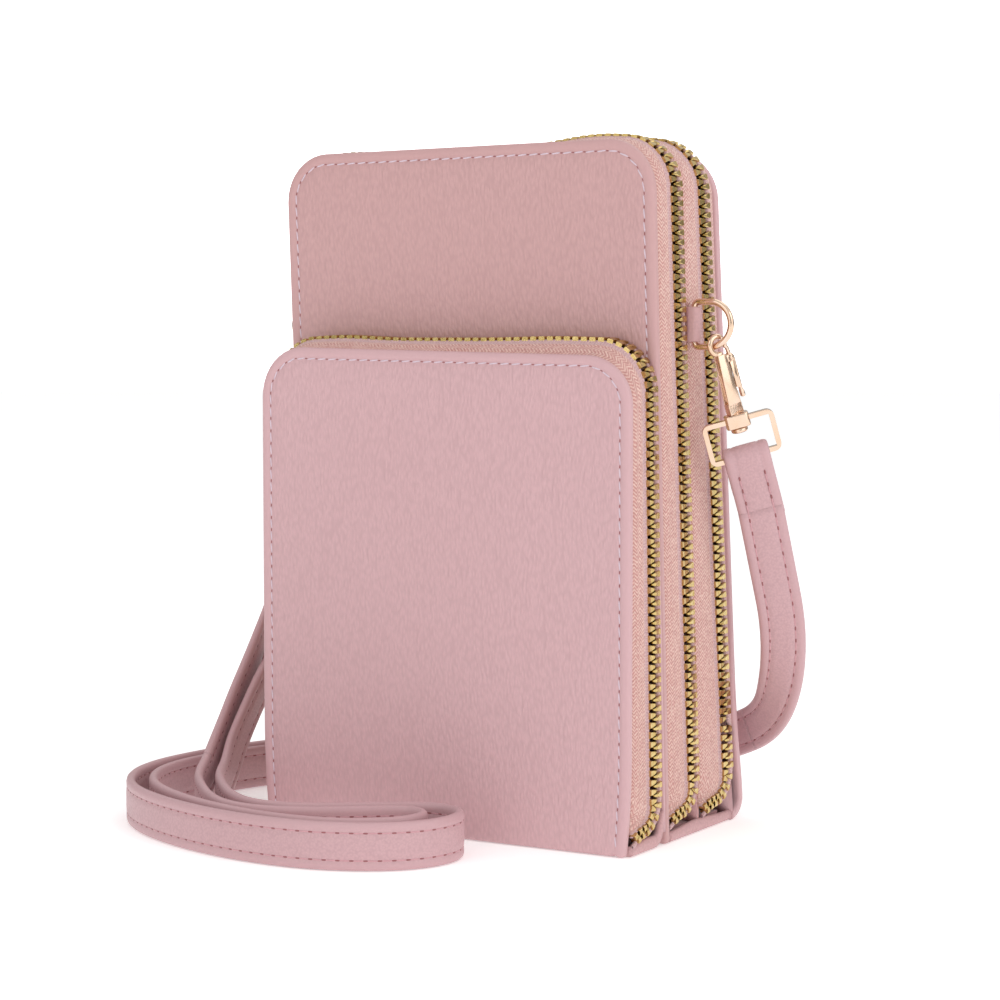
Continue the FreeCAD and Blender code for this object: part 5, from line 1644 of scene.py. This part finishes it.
# the dark pieces in the strap end's needle holes are painted shade
hole_again = stitch_master("end_hole_master", 1.3, 0.5, hole_shade)
for label, master, share, lift in (("threads", thread_again, 0.25, 0.0),
                                   ("needle_holes", hole_again, 0.75, -0.02)):
    places = []
    spots = [(n + share) * STRAP_PITCH for n in range(int(end_reach[-1] // STRAP_PITCH))]
    for k, t in stations_at(end_reach, spots):
        spot = end_run[k].lerp(end_run[k + 1], t)
        heading = (end_run[k + 1] - end_run[k]).normalized()
        thick = end_thick[k + 1] + (end_thick[k + 2] - end_thick[k + 1]) * t
        out = (Vector((1, 0, 0)) - heading * heading.x).normalized()
        for side in (-stitch_at, stitch_at):
            where = spot + Vector((0, side, 0)) + out * (thick / 2 + lift)
            places.append(LOOP_PLACE @ basis(where * MM, heading, out.cross(heading), out))
    both_sides(set_along(master, places, f"right_strap_end_{label}"), None, "loop")
    bpy.data.objects.remove(master)


# ---------------------------------------------------------------- Zip sliders and pulls
# Die-cast sliders with a bridge, parked low on the left side, each with a flat gold pull whose
# end is rounded and whose eye goes round the bridge.
PARKED_HEIGHT = 38.0


def slider_set(prefix, chain, moving_side, bodies):
    lean = -math.atan(chain[1])
    place = (Matrix.Translation(Vector((0, depth_at(chain, PARKED_HEIGHT), PARKED_HEIGHT)) * MM)
             @ Matrix.Rotation(lean, 4, "X") @ Matrix.Rotation(math.pi, 4, "Z"))
    row = (-2.2, 3.7) if moving_side > 0 else (-3.7, 2.2)
    edge = (2.9, 3.7) if moving_side > 0 else (-3.7, -2.9)
    parts = [
        cast_block("slider_outer", (57.1, -3.7, -4.5), (58.2, 3.7, 4.5), 0.45, 4, foot=0.82),
        cast_block("slider_inner", (52.8, row[0], -4.5), (53.9, row[1], 4.5), 0.35, 3),
        cast_block("slider_blade", (53.8, -0.2, 1.0), (57.2, 0.2, 4.4), 0.08, 1),
        cast_block("slider_outer_flange", (56.1, edge[0], -4.3), (57.3, edge[1], 4.3), 0.15, 2),
        cast_block("slider_inner_flange", (53.7, edge[0], -4.3), (54.9, edge[1], 4.3), 0.15, 2),
    ]
    bridge = wire_loop("slider_bridge", [
        (58.0, 0, 2.5), (59.2, 0, 2.5), (59.75, 0, 2.3), (60.05, 0, 1.7), (60.12, 0, 0.0),
        (60.05, 0, -1.7), (59.75, 0, -2.3), (59.2, 0, -2.5), (58.0, 0, -2.5)], 0.72, gold, False)
    for vertex in bridge.data.vertices:
        vertex.co.y *= 1.9
    slider = joined(f"{prefix}_slider_casting", parts + [bridge], gold)
    declare(settle(slider, place), bodies[0], f"{prefix}_slider")
    # the pull: a plate cut to its outline, with its eye open round the bridge
    pull_parts = [turned_pin("pull_rod", 0.5, -2.4, 2.4, "x", (0, 0), 0.15)]
    pull_parts[0].data.transform(Matrix.Rotation(math.pi / 2, 4, "Z"))
    pull_parts[0].data.transform(Matrix.Translation((59.0 * MM, 0, 0)))
    for side in (1, -1):
        near, far = sorted((side * 1.05, side * 2.45))
        pull_parts.append(cast_block(f"pull_leg_{side}", (58.55, near, -5.2), (59.45, far, 0.3), 0.3, 3))
    pull_parts.append(turned_pin("pull_end", 2.45, 58.55, 59.45, "x", (0, -12.4), 0.3))
    pull_parts.append(cast_block("pull_leaf", (58.55, -2.45, -12.6), (59.45, 2.45, -4.9), 0.3, 3))
    pull_parts.append(cast_block("pull_panel", (59.3, -1.5, -12.6), (59.62, 1.5, -6.6), 0.14, 2))
    pull = joined(f"{prefix}_pull_plate", pull_parts, gold)
    declare(settle(pull, place), bodies[1], f"{prefix}_pull")


slider_set("pocket_zip", POCKET_CHAIN, 1, ("pocket_slider", "pocket_pull"))
slider_set("main_zip", MAIN_CHAIN, 1, ("main_slider", "main_pull"))
slider_set("rear_zip", REAR_CHAIN, -1, ("rear_slider", "rear_pull"))
